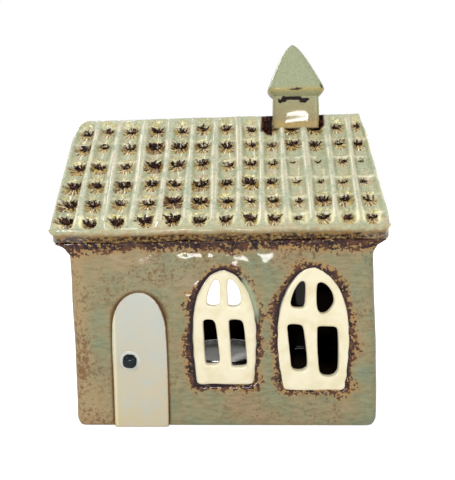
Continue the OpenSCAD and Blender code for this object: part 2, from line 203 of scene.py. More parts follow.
# %% White paper
# The matt paper of a studio. It glows for the camera and for reflections only, so it looks white
# there, still shows the shadow of the house, and throws no light of its own on it.
paper, tree, shader = new_material("white_paper")
rays = add(tree, "LightPath")
seen = add(tree, "Math", {"operation": "MAXIMUM"},
           {0: rays.outputs["Is Camera Ray"], 1: rays.outputs["Is Glossy Ray"]})
glow = add(tree, "MapRange", {"To Max": FLOOR_GLOW}, {"Value": seen})
set_up(shader,
       {"Base Color": "#dcdcda", "Roughness": 0.9, "Specular IOR Level": 0.1, "Emission Color": "#ffffff"},
       {"Emission Strength": glow})
floor_mesh.materials.append(paper)
print("floor material:", paper.name)

# %% [markdown]
# ## Sizes
# The scene works in millimetres and repeats the few driving sizes that shape the skins. What can be
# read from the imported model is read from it.

# %% Sizes from the model
def box_mm(node):
    """A node's lowest and highest corner in mm."""
    low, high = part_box(node)
    return np.array(low) / MM, np.array(high) / MM


roof_high = box_mm("front_roof")[1]
wall_low, wall_high = box_mm("front_wall")
cap_low, cap_high = box_mm("chimney_cap")
shaft_low, shaft_high = box_mm("chimney_shaft")
HALF_W = wall_high[0]
HALF_D = -wall_low[1]
HALF_ROOF = roof_high[0]
PITCH = math.radians(47)
ROOF_T = 7.5
RIDGE_R = 3.0
EAVE_OUT = 7.4
WALL_H = 81.8
SLOPE_LEN = (HALF_D + EAVE_OUT) / math.cos(PITCH)
APEX_Z = WALL_H + HALF_D * math.tan(PITCH) + ROOF_T / math.cos(PITCH)
RIDGE_CENTRE_Z = APEX_Z - RIDGE_R / math.cos(PITCH)
print("slope length:", round(SLOPE_LEN, 2), "ridge:", round(RIDGE_CENTRE_Z + RIDGE_R, 2), "box:", roof_high)


# %% [markdown]
# ## Handwork
# Nothing on the house is straight. Two small tools give that: waves() adds up sine waves in random
# directions, which makes soft random hills of a chosen size, and hand() moves every point of the
# fired body by the same slow waves, so that neighbouring pieces still fit.

# %% Random hills
def waves(points, size, seed, count=12):
    """Smooth random heights, mostly from -1 to 1, whose hills are about size mm across."""
    draw = np.random.default_rng(seed)
    total = np.zeros(len(points))
    for _ in range(count):
        way = draw.normal(size=3)
        way *= 2 * math.pi / (size * draw.uniform(1.3, 3.0)) / np.linalg.norm(way)
        total += np.sin(points @ way + draw.uniform(0, 2 * math.pi))
    return total / math.sqrt(count)


def smooth(low, high, value):
    """0 below low and 1 above high, with a soft step between them."""
    t = np.clip((value - low) / (high - low), 0, 1)
    return t * t * (3 - 2 * t)


# %% The hand's slow movement
# How far in mm the hand moved things: slow hills, leaning side walls, a roof that dips to the left,
# and windows that narrow towards their sills.
HAND_SIZE = 60
HAND_MOVE = 0.18
LEFT_IN = 0.3
LEFT_FOOT_IN = 0.9
RIGHT_OUT = 0.5
RIGHT_FOOT_OUT = 1.0
ROOF_TILT = 0.55
WINDOW_X = {"left_window": 1.6, "right_window": 39.25}
TAPER_TOP = 38.0
TAPER = {"left_window": 0.095, "right_window": 0.13}


def hand(points):
    """The points of the fired body, moved as the hand left them. In mm."""
    p = np.array(points, float)
    x, y, z = p.T.copy()
    off_floor = smooth(0, 6, z)
    for axis in range(3):
        p[:, axis] += HAND_MOVE * waves(points, HAND_SIZE, 40 + axis) * off_floor
    wall = smooth(WALL_H + 6, WALL_H - 6, z)
    p[:, 0] += wall * smooth(-50, -62, x) * (LEFT_IN + LEFT_FOOT_IN * smooth(WALL_H, 5, z))
    p[:, 0] += wall * smooth(55, 63, x) * (RIGHT_OUT + RIGHT_FOOT_OUT * smooth(WALL_H, 5, z))
    p[:, 2] += ROOF_TILT * x / HALF_ROOF * smooth(WALL_H - 12, WALL_H + 4, z)
    front = smooth(-20, -34, y)
    for name, middle in WINDOW_X.items():
        near = smooth(23, 16, abs(x - middle)) * front
        down = np.clip((TAPER_TOP - z) / 20, 0, 1.2)
        p[:, 0] -= (x - middle) * TAPER[name] * down ** 1.5 * near
    return p


# %% [markdown]
# ## Meshes
# Pieces are made from arrays of points. paint() writes a number for every point, such as how much
# iron oxide lies there, and the glaze's nodes read it as an attribute.

# %% Mesh helpers
def new_piece(name, points, faces):
    """A smooth-shaded object from points in mm."""
    mesh = bpy.data.meshes.new(name)
    mesh.from_pydata((np.asarray(points) * MM).tolist(), [], faces)
    mesh.polygons.foreach_set("use_smooth", [True] * len(mesh.polygons))
    piece = bpy.data.objects.new(name, mesh)
    scene.collection.objects.link(piece)
    return piece


def points_of(piece):
    """The piece's points in mm."""
    flat = np.zeros(len(piece.data.vertices) * 3, np.float32)
    piece.data.vertices.foreach_get("co", flat)
    return flat.reshape(-1, 3).astype(float) / MM


def move_points(piece, points):
    """Gives the piece new points in mm."""
    piece.data.vertices.foreach_set("co", (points * MM).astype(np.float32).ravel())
    piece.data.update()


def normals_of(piece):
    """The piece's point normals."""
    flat = np.zeros(len(piece.data.vertices) * 3, np.float32)
    piece.data.vertex_normals.foreach_get("vector", flat)
    return flat.reshape(-1, 3).astype(float)


def paint(piece, name, values):
    """Writes one number for each point."""
    attribute = piece.data.attributes.new(name, "FLOAT", "POINT")
    attribute.data.foreach_set("value", np.clip(values, 0, 1).astype(np.float32))


def bake_modifiers(piece):
    """Turns the piece's modifiers into its mesh."""
    graph = bpy.context.evaluated_depsgraph_get()
    mesh = bpy.data.meshes.new_from_object(piece.evaluated_get(graph))
    piece.modifiers.clear()
    piece.data = mesh
    mesh.polygons.foreach_set("use_smooth", [True] * len(mesh.polygons))


def remesh(piece, voxel, rounds):
    """Fuses the piece into one even skin, then smooths its edges as a finger would."""
    modifier = piece.modifiers.new("fuse", "REMESH")
    modifier.mode = "VOXEL"
    modifier.voxel_size = voxel * MM
    modifier = piece.modifiers.new("soften", "SMOOTH")
    modifier.factor = 0.5
    modifier.iterations = rounds
    bake_modifiers(piece)


def face_outward(piece):
    """Turns all faces outward."""
    work = bmesh.new()
    work.from_mesh(piece.data)
    bmesh.ops.recalc_face_normals(work, faces=work.faces)
    work.to_mesh(piece.data)
    work.free()


def wear(piece, material, body, slot, *nodes):
    """Gives the piece its material and body, and hides the imported nodes it stands for. slot is not used."""
    piece.data.materials.clear()
    piece.data.materials.append(material)
    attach(piece, body)
    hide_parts(*nodes)
    print(piece.name, len(piece.data.polygons), "faces")


# %% [markdown]
# ## The tiled roof
# The maker pressed thirteen troughs down the soft slab and nicked each one in six rows, so that it
# reads as courses of tiles. Then oxide went into the nicks, and a pale sage glaze over all of it.
# A roof like this could be sculpted or built tile by tile. Here it is a height field: a fine grid
# over both slopes whose height is a formula of the place, because then every nick can differ.

# %% Where the troughs and rows lie
# Measured in the photo through the camera above: mm from the middle, and mm down the slope.
TROUGHS = np.array([-63.5, -54.0, -42.2, -30.0, -19.0, -8.2, 3.0, 13.4, 23.2, 33.2, 43.6, 53.8, 63.2])
ROWS = np.array([7.6, 18.0, 30.0, 41.6, 52.0, 62.0])
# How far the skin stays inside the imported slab, the rim's depth along the eave, the relief's depths,
# the length of a course, the curl of a lip, and how far a dark mark reaches above and below its lip.
ROOF_IN = 0.45
SKIN_HALF = HALF_ROOF - ROOF_IN
RIM_DEPTH = 2.2
SHOULDER = 0.4
STEP = 1.3
TROUGH_DEPTH = 1.5
COURSE = 11.0
LIP_RISE = 0.9
MARK_ABOVE = 4.6
MARK_BELOW = 6.8
ridge_tangent = RIDGE_R * math.tan(PITCH)
rib_lines = np.concatenate([[-SKIN_HALF - 0.6], (TROUGHS[1:] + TROUGHS[:-1]) / 2, [SKIN_HALF + 0.6]])


# %% How much oxide each nick holds
def bump_at(value, middle, width):
    """1 at the middle, falling off over the width."""
    return np.exp(-((value - middle) / width) ** 2)


def oxide_of(column, row):
    """How much oxide the brush left in a nick, from 0 to 1.2."""
    middle = bump_at(column, 4.2, 1.9) * smooth(-0.6, 1.6, row) * 0.42
    left = bump_at(column, 0, 0.9) * smooth(-0.5, 1.0, row) * 0.3
    right = bump_at(column, 9.3, 1.6) * bump_at(row, 1.0, 0.8) * 0.25
    low = smooth(3.2, 4.6, row) * 0.16
    bare = bump_at(column, 11.2, 1.9) * bump_at(row, 2.2, 1.3) * 0.28
    faint = bump_at(column, 7.8, 1.2) * bump_at(row, 3.0, 0.9) * 0.1
    return 0.60 + middle + left + right + low - bare - faint


# %% The nick that a place belongs to
# How far in mm the troughs wander, and the nicks lie off their row and off the trough's middle. Then
# the spread and the most of the oxide, and the share of a trough that its round bowl takes.
NICK_LEAN = 0.35
NICK_SHIFT = 0.45
NICK_ASIDE = 0.35
OXIDE_SPREAD = 0.13
MOST_OXIDE = 1.2
BOWL_SHARE = 0.72


def nicks(x, s):
    """For places along the roof and down the slope: the column, the row, the place across, below the lip
    and above the next one, and how much oxide lies in this nick and in the next."""
    draw = np.random.default_rng(7)
    across, along, strength = draw.normal(size=(3, len(TROUGHS), len(ROWS) + 1))
    column = np.clip(np.searchsorted(rib_lines, x) - 1, 0, len(TROUGHS) - 1)
    lean = NICK_LEAN * np.sin(s / 11 + column * 1.7)
    t = x - TROUGHS[column] - lean
    reach = np.where(t < 0, TROUGHS[column] - rib_lines[column], rib_lines[column + 1] - TROUGHS[column])
    rel = np.abs(t) / reach
    smile = 0.5 - LIP_RISE * (1 - np.minimum(rel / BOWL_SHARE, 1) ** 1.6) + 0.08 * t * across[column, 0]
    row = np.full(x.shape, -1)
    start = np.full(x.shape, ridge_tangent)
    to_next = np.full(x.shape, 99.0)
    for k, line in enumerate(ROWS):
        here = line + NICK_SHIFT * along[column, k] + smile
        row = np.where(s > here, k, row)
        start = np.where(s > here, here, start)
        to_next = np.where(s > here, 99.0, np.minimum(to_next, here - s))
    k = np.clip(row, 0, len(ROWS) - 1)
    under = np.clip(row + 1, 0, len(ROWS) - 1)
    amount = np.clip(oxide_of(column, k) + OXIDE_SPREAD * strength[column, k], 0.15, MOST_OXIDE) * (row >= 0)
    next_amount = np.clip(oxide_of(column, under) + OXIDE_SPREAD * strength[column, under], 0.15, MOST_OXIDE)
    u = t - NICK_ASIDE * across[column, k]
    return column, row, u, s - start, to_next, rel, amount, next_amount, across[column, k]


# %% The relief of a slope
def roof_relief(x, s):
    """Height under the crests and the masks, for places x along the roof and s down the slope."""
    column, row, u, below, to_next, rel, amount, next_amount, turn = nicks(x, s)
    # The trough is a round bowl with a step under each lip that fades towards the next one.
    length = np.where(row < 0, ROWS[0], COURSE)
    v = np.clip(below / length, 0, 1)
    in_trough = 1 - smooth(0.46, 0.84, rel)
    bowl = TROUGH_DEPTH * np.clip(1 - (rel / BOWL_SHARE) ** 2, 0, 1)
    drop = STEP * (1 - smooth(0.0, 1.0, v) * 0.9) * np.where(row < 0, 0.35, 1)
    has_lip = row < len(ROWS) - 1
    lip = 0.45 * bump_at(below, length, 1.2) * has_lip
    # Under the lip lie the tool's pit and the fan of its flutes, deeper where more oxide is.
    size = 0.55 + 0.5 * amount
    pit = 0.95 * amount * np.exp(-np.abs(u / (2.5 * size)) ** 4 - ((below - 0.7) / 0.9) ** 2)
    angle = np.arctan2(below + 0.2, u)
    radius = np.hypot(u / 1.25, below)
    flute = 0.30 * np.sin(angle * 8.5 + 2.5 * turn) * bump_at(radius, 2.1, 1.1) * (row >= 0) * size
    fade = smooth(ridge_tangent - 0.6, ridge_tangent + 5.5, s)
    height = -(in_trough * (SHOULDER + bowl + drop - lip + pit + flute)) * fade
    height -= 0.35 * (1 - in_trough) * np.clip((1 - rel) / 0.35, 0, 1) ** 2
    # The masks: the dark mark round each lip, the ribs, and the thin crests and lips, where the glaze breaks
    # pale and a painted highlight lies, stronger on one side of each trough.
    over_next = to_next < MARK_ABOVE
    mark = np.where(over_next, next_amount * smooth(MARK_ABOVE, MARK_ABOVE - 0.9, to_next),
                    amount * smooth(MARK_BELOW, MARK_BELOW - 1.6, below))
    lip_highlight = bump_at(to_next, 0.7, 0.6) * in_trough * 0.75
    right_crest = 0.75 * bump_at(rel, 0.88, 0.05) * (u > 0)
    crest = np.maximum(right_crest, lip_highlight) + 0.4 * bump_at(rel, 0.88, 0.04) * (u < 0)
    masks = {"mark": mark / MOST_OXIDE * smooth(0.92, 0.72, rel), "rib": 1 - in_trough, "crest": crest * fade}
    nick = np.stack([u, np.where(over_next, -to_next, below), column * 7.0 + row + over_next], -1)
    return height, masks, nick


# %% [markdown]
# The grid runs from the underside of the front slope round the eave, over the ridge and back under
# the rear slope. Its columns stand closer at the ends of the roof, where the edge is rounded.

# %% Roof skin
EAVE_R = 2.2
UNDER_R = 1.0
END_R = 1.5
CORNER_R = 2.6
RIDGE_END_R = 5.5
COLUMN_STEP = 0.46
ROW_STEP = {-1: 0.42, 1: 0.6}
RIDGE_LEFT_IN = 0.9
RIDGE_RIGHT_IN = 4.2
EAVE_U_R = 3.9
LIP_WAVE = 0.5

end_columns = END_R * (1 - np.cos(np.linspace(0, math.pi / 2, 6)))
inner = np.linspace(-SKIN_HALF + END_R, SKIN_HALF - END_R, int((2 * SKIN_HALF - 2 * END_R) / COLUMN_STEP))
columns = np.concatenate([-SKIN_HALF + end_columns[:-1], inner, (SKIN_HALF - end_columns[:-1])[::-1]])


# %% The section of one slope
def half_profile(side):
    """Rows of one slope, from the top of its underside round the eave to the ridge.

    Each row is a place down the slope, a height, and 1 where the relief applies.
    """
    inner_end = ROOF_T * math.tan(PITCH)
    tip = SLOPE_LEN - ROOF_IN
    rows = [(s, -ROOF_T, 0.0) for s in np.linspace(inner_end, tip - CORNER_R, 6)]
    rows += [(s, -ROOF_T, 0.0) for s in np.linspace(tip - CORNER_R, tip - UNDER_R, 7)[1:]]
    for a in np.linspace(0, math.pi / 2, 5)[1:]:
        rows.append((tip - UNDER_R + UNDER_R * math.sin(a), -ROOF_T + UNDER_R * (1 - math.cos(a)), 0.0))
    rows += [(tip, h, 0.0) for h in np.linspace(-ROOF_T + UNDER_R, -EAVE_R, 10)[1:]]
    for a in np.linspace(0, math.pi / 2, 8)[1:]:
        rows.append((tip - EAVE_R + EAVE_R * math.cos(a), -EAVE_R + EAVE_R * math.sin(a), 0.0))
    top_len = tip - EAVE_R
    rows += [(s, 0.0, 1.0) for s in np.linspace(top_len, 0, int(top_len / ROW_STEP[side]))[1:]]
    return np.array(rows)


# %% From the slope to x, y and z
def slope_place(x, s, h, side):
    """A place in mm from slope coordinates, where s under the ridge's tangent runs over the rounded ridge."""
    angle = PITCH * np.clip(s / ridge_tangent, 0, 1)
    on_ridge = s < ridge_tangent
    y = np.where(on_ridge, (RIDGE_R + h) * np.sin(angle), s * math.cos(PITCH) + h * math.sin(PITCH))
    z = np.where(on_ridge, RIDGE_CENTRE_Z + (RIDGE_R + h) * np.cos(angle),
                 APEX_Z - s * math.sin(PITCH) + h * math.cos(PITCH))
    return np.stack([x, side * y, z], -1)


# %% One slope's points and masks
REAR_SHIFT = 1.5
REAR_SQUEEZE = 0.97
POOL_LEFT = 13.1
POOL_RIGHT = 11.6
CHIMNEY_X = float(cap_low[0] + cap_high[0]) / 2


def roof_side(side):
    """The points and masks of one slope, as rows by columns."""
    rows = half_profile(side)
    s, x = np.meshgrid(rows[:, 0], columns, indexing="ij")
    base = rows[:, 1][:, None] + 0 * x
    use = rows[:, 2][:, None] + 0 * x
    relief, masks, nick = roof_relief(x if side < 0 else REAR_SHIFT - x * REAR_SQUEEZE, s)
    # The troughs end in round bowls at a raised rim along the eave.
    tip = SLOPE_LEN - ROOF_IN
    to_eave = tip - s
    bowl_end = RIM_DEPTH + EAVE_U_R
    column = np.clip(np.searchsorted(rib_lines, x) - 1, 0, len(TROUGHS) - 1)
    off = np.abs(x - TROUGHS[column])
    in_u = np.hypot(off, np.maximum(bowl_end - to_eave, 0)) / EAVE_U_R
    rim = np.where(to_eave < bowl_end, smooth(0.80, 1.05, in_u), 0) * use
    # The eave's underside waves, and the slope's sides and lower corners are rounded.
    under_edge = smooth(-ROOF_T + 2.6, -ROOF_T, base) * smooth(4.0, 1.5, to_eave) * (1 - use)
    height = base + use * (relief * (1 - rim) - 0.25 * rim)
    height = height + 0.45 * under_edge * np.sin(x / 4.3 + 2 * np.sin(x / 9))
    out = np.maximum(END_R - (SKIN_HALF - np.abs(x)), 0)
    height = height - use * (END_R - np.sqrt(np.maximum(END_R ** 2 - out ** 2, 0)))
    e = np.clip(CORNER_R - to_eave, 0, CORNER_R)
    squeeze = (SKIN_HALF - CORNER_R + np.sqrt(CORNER_R ** 2 - e ** 2)) / SKIN_HALF
    # The roof is narrower at the ridge, its skin is lumpy, its lip wavy, and the ridge's ends droop.
    ridge_in = np.where(x < 0, RIDGE_LEFT_IN, RIDGE_RIGHT_IN) * np.clip(1 - s / (SLOPE_LEN * 0.85), 0, 1)
    taper = -np.sign(x) * ridge_in * smooth(SKIN_HALF - 7, SKIN_HALF, np.abs(x))
    lump = 0.14 * waves(np.stack([x.ravel(), s.ravel(), 0 * x.ravel()], -1), 9, 11 + side).reshape(x.shape)
    height = height + use * lump * (0.4 + 0.6 * masks["rib"])
    wave = np.clip(0.5 + 0.6 * np.sin(x / 5.1 + 1.7 * np.sin(x / 13)), 0, 1)
    drawn_in = LIP_WAVE * wave * smooth(7, 0, to_eave)
    place = slope_place(x * squeeze + taper, s - drawn_in, height, side)
    near_end = np.maximum(RIDGE_END_R - (SKIN_HALF - np.abs(x)), 0)
    bow = RIDGE_END_R - np.sqrt(np.maximum(RIDGE_END_R ** 2 - near_end ** 2, 0))
    place[..., 2] -= bow * smooth(14, 0, s) * (use > 0)
    # More masks: the pale rim, the crust on the eave's face and underside, its honey-coloured line,
    # and the dark pools beside the chimney.
    face = (1 - use) * smooth(-ROOF_T - 0.1, -ROOF_T + 0.6, base)
    lip = (1 - use) * smooth(-EAVE_R - 0.9, -EAVE_R + 1.3, base)
    masks = {name: mask * use * (1 - rim) for name, mask in masks.items()}
    edge = bump_at(in_u, 0.84, 0.18) * smooth(bowl_end + 7, bowl_end + 1, to_eave) * use
    masks.update(rim=edge, band=face * (1 - lip), under=(1 - use) * (base < -ROOF_T + 0.3),
                 honey=(1 - use) * bump_at(base, -EAVE_R + 0.2, 1.6))
    beside = smooth(1.1, 0.8, np.abs(x - CHIMNEY_X + POOL_LEFT + 0.06 * s) / 2.9) * smooth(13.5, 12.0, s)
    past = smooth(1.1, 0.8, np.abs(x - CHIMNEY_X - POOL_RIGHT) / 1.5) * smooth(10.5, 9.4, s)
    masks["pool"] = np.maximum(beside, past) * use * (side < 0)
    return place, masks, nick


# %% Both slopes in one grid
front_place, front_masks, front_nick = roof_side(-1)
rear_place, rear_masks, rear_nick = roof_side(1)


def joined(front, rear):
    """One grid from the front slope's rows and the rear slope's, without the rows that both have."""
    return np.concatenate([front, rear[::-1][1:]])[:-1]


roof_points = joined(front_place, rear_place)
roof_nick = joined(front_nick, rear_nick)
roof_masks = {name: joined(front_masks[name], rear_masks[name]) for name in front_masks}
row_count, column_count = roof_points.shape[:2]
print("roof grid:", row_count, "by", column_count)


# %% [markdown]
# The grid is a tube that is open at both ends of the roof. Each end is closed by a strip of
# triangles that walks along the top and the underside together, so no face is long and thin.

# %% Closing the roof's ends
def zip_rows(top, bottom, top_place, bottom_place):
    """Triangles between two rows of point numbers, walked by how far along each point lies."""
    faces = []
    i = j = 0
    while i < len(top) - 1 or j < len(bottom) - 1:
        on_top = j == len(bottom) - 1 or (i < len(top) - 1 and top_place[i + 1] <= bottom_place[j + 1])
        if on_top:
            faces.append((top[i], top[i + 1], bottom[j]))
            i += 1
        else:
            faces.append((top[i], bottom[j + 1], bottom[j]))
            j += 1
    return faces


def roof_faces():
    """The quads of the grid and the two closed ends."""
    faces = []
    for r in range(row_count):
        a, b = r * column_count, ((r + 1) % row_count) * column_count
        faces += [(a + c, a + c + 1, b + c + 1, b + c) for c in range(column_count - 1)]
    y = roof_points[:, 0, 1]
    first, last = int(np.argmin(y)), int(np.argmax(y))
    top_rows = list(range(first, last + 1))
    bottom_rows = list(range(first, -1, -1)) + list(range(row_count - 1, last - 1, -1))
    for c, flip in ((0, False), (column_count - 1, True)):
        made = zip_rows([r * column_count + c for r in top_rows], [r * column_count + c for r in bottom_rows],
                        y[top_rows], y[bottom_rows])
        made = [f for f in made if len(set(f)) == 3]
        faces += [f[::-1] for f in made] if flip else made
    return faces


# %% The roof's mesh
roof = new_piece("roof", hand(roof_points.reshape(-1, 3)), roof_faces())
face_outward(roof)
for mask, values in roof_masks.items():
    paint(roof, mask, values.ravel())
nick_place = roof.data.attributes.new("nick", "FLOAT_VECTOR", "POINT")
nick_place.data.foreach_set("vector", roof_nick.reshape(-1, 3).astype(np.float32).ravel())
print("roof highest:", points_of(roof).max(0))

# %% [markdown]
# ## Walls, coils and floor
# Four wall slabs, the floor and the coils under the roof were luted together while soft, and the joints
# were smoothed over before glazing. A boolean union would join them too, but with sharp seams. The
# packed slabs are copied and fused by a voxel remesh, which does what the potter's thumb did: it
# leaves one skin with soft edges. Its points then get the dents of the hand, the rough crust of
# oxide, and the lumps where the glaze ran together under the eave.

# %% One body from nine slabs
BODY_NODES = ["front_wall", "back_wall", "left_gable_wall", "right_gable_wall", "floor_slab",
              "front_eave_coil", "rear_eave_coil", "left_gable_coil", "right_gable_coil"]
BODY_VOXEL = 0.92


def fused(name, nodes, voxel, rounds):
    """A copy of the nodes as one soft skin."""
    work = bmesh.new()
    for node in nodes:
        work.from_mesh(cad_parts[node].data)
    mesh = bpy.data.meshes.new(name)
    work.to_mesh(mesh)
    work.free()
    piece = bpy.data.objects.new(name, mesh)
    scene.collection.objects.link(piece)
    remesh(piece, voxel, rounds)
    return piece


walls = fused("walls", BODY_NODES, BODY_VOXEL, rounds=3)
print("walls:", len(walls.data.vertices), "points")


# %% How far a wall point is from a window
def arch(middle, foot, wide, high, head, count=60):
    """Points round a window's outline: straight sides under a rounded head."""
    half_wide = wide / 2
    turn_over = np.linspace(0, math.pi, count)
    top = np.stack([half_wide * np.cos(turn_over), high - head + head * np.sin(turn_over)], 1)
    side = np.linspace(0, high - head, count // 2)
    right = np.stack([np.full(len(side), half_wide), side], 1)
    bottom = np.stack([np.linspace(-half_wide, half_wide, count // 2), np.zeros(count // 2)], 1)
    return np.concatenate([top, right, right * (-1, 1), bottom]) + (middle, foot)


def away_from(points, outline):
    """The distance of each point in the wall's plane to the nearest point of an outline."""
    flat = points[:, [0, 2]]
    best = np.full(len(flat), 1e9)
    for place in outline:
        best = np.minimum(best, np.hypot(*(flat - place).T))
    return best


# %% Where the windows and the door lie
# Each window's foot, width and height in mm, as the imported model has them.
WINDOW_SIZES = {"left_window": (18.4, 27.0, 49.0), "right_window": (16.2, 29.5, 52.0)}
WINDOW_HEAD = 25.0
DOOR_X = -34.65
DOOR_W = 23.5
DOOR_H = 57.6
DOOR_FOOT = 0.9

# %% Masks of the walls
body_points = points_of(walls)
x, y, z = body_points.T
outward = normals_of(walls)
on_front = smooth(-HALF_D + 3.0, -HALF_D + 1.6, y)
outside = 1 - ((np.abs(x) < HALF_W - 2.5) & (np.abs(y) < HALF_D - 2.5)
               & (z > 3) & (z < APEX_Z - np.abs(y) * math.tan(PITCH) - 9))

# The ring of oxide round each window is ragged, and a little wider between the left one and the door.
reach = {name: away_from(body_points, arch(WINDOW_X[name], foot, wide, high, WINDOW_HEAD))
         for name, (foot, wide, high) in WINDOW_SIZES.items()}
ring_width = 3.9 + 1.1 * waves(body_points, 9, 21) + 0.4 * smooth(-8, -12, x) * smooth(64, 52, z)
rings = sum(np.clip(1.35 - reach[name] / ring_width, 0, 1) for name in reach)
above_bottom = smooth(11, 19, z)
rings = np.clip(rings, 0, 1) * on_front * (0.45 + 0.55 * above_bottom)

# Painted shadow lies near black in the gaps left of and over the left window and left of the right one,
# where the windows sit back in the wall. A thin line of brown glaze goes round the door. The right shoulder
# of the left window has a pale bevel instead.
across_left = x - WINDOW_X["left_window"]
groove_shadows = smooth(2.0, 0.7, reach["left_window"]) * np.maximum(smooth(4, -2, across_left), smooth(60, 66, z))
right_groove_shadow = smooth(1.7, 0.6, reach["right_window"]) * smooth(44, 36, x) * smooth(26, 40, z)
groove_shadows = np.maximum(groove_shadows, right_groove_shadow) * on_front
bevels = smooth(2.8, 1.6, reach["left_window"]) * smooth(6, 10, across_left) * smooth(44, 52, z) * on_front
door_gap = away_from(body_points, arch(DOOR_X, DOOR_FOOT, DOOR_W, DOOR_H, DOOR_W / 2))
outline = smooth(1.3, 0.6, door_gap) * on_front

# The crust in the angle under the eave and the gables, the inside of the house, near black as a dark glaze
# and as painted shade, and the rusty zones on the left.
eave_under = WALL_H - 1.0 - 1.2 * waves(body_points, 9, 22)
eave_band = smooth(eave_under - 8, eave_under - 1.5, z) * outside * (np.abs(x) < HALF_W + 6)
gable_line = APEX_Z - np.abs(y) * math.tan(PITCH) - ROOF_T / math.cos(PITCH) - z
eave_band = np.where(np.abs(outward[:, 0]) > 0.6, smooth(9, 3, gable_line), eave_band) * outside
inside_glaze_and_shade = 1 - outside
rust = np.maximum(smooth(-52, -62, x), smooth(26, 8, z) * smooth(-34, -56, x))
rust = np.maximum(rust, 0.3 * smooth(56, 66, z) * smooth(-12, -26, x)) * outside

# %% The hand's dents, and the crust of the oxide
# The glaze ran together in a band under the eave. It is lumpy there, so it catches the low card.
WET_Z = 74.5
WET_HALF = 3.6
WET_LUMP = 0.16
WET_TILT = 0.034
dents = 0.16 * waves(body_points, 22, 31) + 0.08 * waves(body_points, 8, 32)
crust = waves(body_points, 2.6, 33, 20)
lift = outside * dents + 0.13 * crust * np.clip(rings + 0.9 * eave_band, 0, 1)
wet_band = bump_at(z, WET_Z, WET_HALF) * on_front * smooth(-28, -18, x) * smooth(34, 20, x)
lift += wet_band * (WET_LUMP * waves(body_points, 6, 34) - WET_TILT * (z - WET_Z))
lift *= smooth(0.2, 3.0, z)
body_points = hand(body_points + outward * lift[:, None])
body_points[:, 2] = np.maximum(body_points[:, 2], 0)
move_points(walls, body_points)
wall_masks = {"ring": rings, "band": eave_band, "inside_glaze_and_shade": inside_glaze_and_shade, "groove": groove_shadows, "bevel": bevels,
              "outline": outline, "rust": rust}
for mask, values in wall_masks.items():
    paint(walls, mask, values)
print("walls lowest:", points_of(walls).min(0), "highest:", points_of(walls).max(0))

# %% [markdown]
# ## Windows
# Each window was cut from a thin slab with a knife: an arch with four panes, none of them alike.
# A flat curve is the right tool for a cut slab, because it holds an outline and its holes and rounds
# all edges by its bevel. The outlines have a few points each, and cutting their corners off three
# times rounds them, as a wet sponge does. The result is remeshed and softened.

# %% Cut slabs
CORNER_CUT = 0.25


def rounded(outline, rounds=3):
    """A closed outline whose corners are cut off again and again."""
    line = np.array(outline, float)
    for _ in range(rounds):
        after = np.roll(line, -1, axis=0)
        cut = CORNER_CUT * (after - line)
        line = np.stack([line + cut, after - cut], 1).reshape(-1, 2)
    return line


def cut_slab(name, outlines, face_y, thick, edge, voxel, rounds=2):
    """An upright slab from closed outlines in x and z, in mm. The first is the edge, the others are holes."""
    curve = bpy.data.curves.new(name, "CURVE")
    curve.dimensions = "2D"
    curve.fill_mode = "BOTH"
    curve.extrude = (thick / 2 - edge) * MM
    curve.bevel_depth = edge * MM
    curve.bevel_resolution = 3
    curve.offset = -edge * MM
    for outline in outlines:
        line = rounded(outline)
        spline = curve.splines.new("POLY")
        spline.points.add(len(line) - 1)
        spline.use_cyclic_u = True
        for point, (px, pz) in zip(spline.points, line):
            point.co = (px * MM, pz * MM, 0, 1)
    piece = bpy.data.objects.new(name, curve)
    scene.collection.objects.link(piece)
    piece.matrix_world = (Matrix.Translation((0, (face_y + thick / 2) * MM, 0))
                          @ Matrix.Rotation(math.pi / 2, 4, "X"))
    bpy.context.view_layer.update()
    graph = bpy.context.evaluated_depsgraph_get()
    mesh = bpy.data.meshes.new_from_object(piece.evaluated_get(graph))
    mesh.transform(piece.matrix_world)
    bpy.data.objects.remove(piece)
    slab = bpy.data.objects.new(name, mesh)
    scene.collection.objects.link(slab)
    remesh(slab, voxel, rounds)
    return slab


# %% Outlines of the two windows
# Places in mm, read off the photo through the camera above.
LEFT_EDGE = [(-11.1, 20.2), (-10.7, 18.3), (-8.7, 17.9), (11.9, 17.9), (13.9, 18.3), (14.5, 20.2),
             (15.3, 30.4), (16.1, 42.4), (15.1, 52.4), (12.7, 60.6), (7.7, 67.6), (2.2, 69), (-3.9, 67.6),
             (-9.1, 60.4), (-11.6, 51.9), (-12.5, 42.4), (-12.1, 30.4)]
LEFT_PANES = [
    [(-5.7, 54.8), (-5.5, 53), (-4.1, 52.7), (-1.3, 52.7), (-0.3, 53.6), (-0.1, 60.4), (-0.5, 63.4),
     (-2.3, 63.8), (-4.6, 59.8)],
    [(3.4, 53.3), (3.9, 52.3), (7.1, 52.3), (8.6, 53.2), (8.8, 55.8), (8.2, 59.2), (6.5, 62.2), (4.3, 63.9),
     (3.3, 63)],
    [(-7.5, 44.4), (-7.2, 46), (-6.3, 46.4), (-3.9, 46.4), (-2.7, 45.8), (-1.9, 43.8), (-0.5, 30.4),
     (-0.6, 28), (-1.7, 27), (-5.9, 26.8), (-6.8, 27.6), (-7.1, 35.4)],
    [(3.6, 44.6), (3.8, 46.2), (4.9, 46.5), (8.1, 46.4), (9.4, 45.6), (10, 43.6), (11.1, 30.4), (11.2, 27.4),
     (10.7, 26.1), (5.5, 25.8), (4.4, 26.3), (4.1, 35.4)],
]
RIGHT_EDGE = [(26.1, 18.4), (26.5, 16.3), (28.5, 15.8), (51.5, 15.8), (53.5, 16.1), (54, 18), (54.5, 30.4),
              (54.9, 38.4), (54.2, 46.4), (52.6, 54.6), (48.9, 62.8), (43.4, 68.6), (39.5, 69.6),
              (35.4, 68.6), (29.9, 62.6), (26, 54.4), (24.3, 45.4), (23.8, 36.4), (24.3, 26.4)]
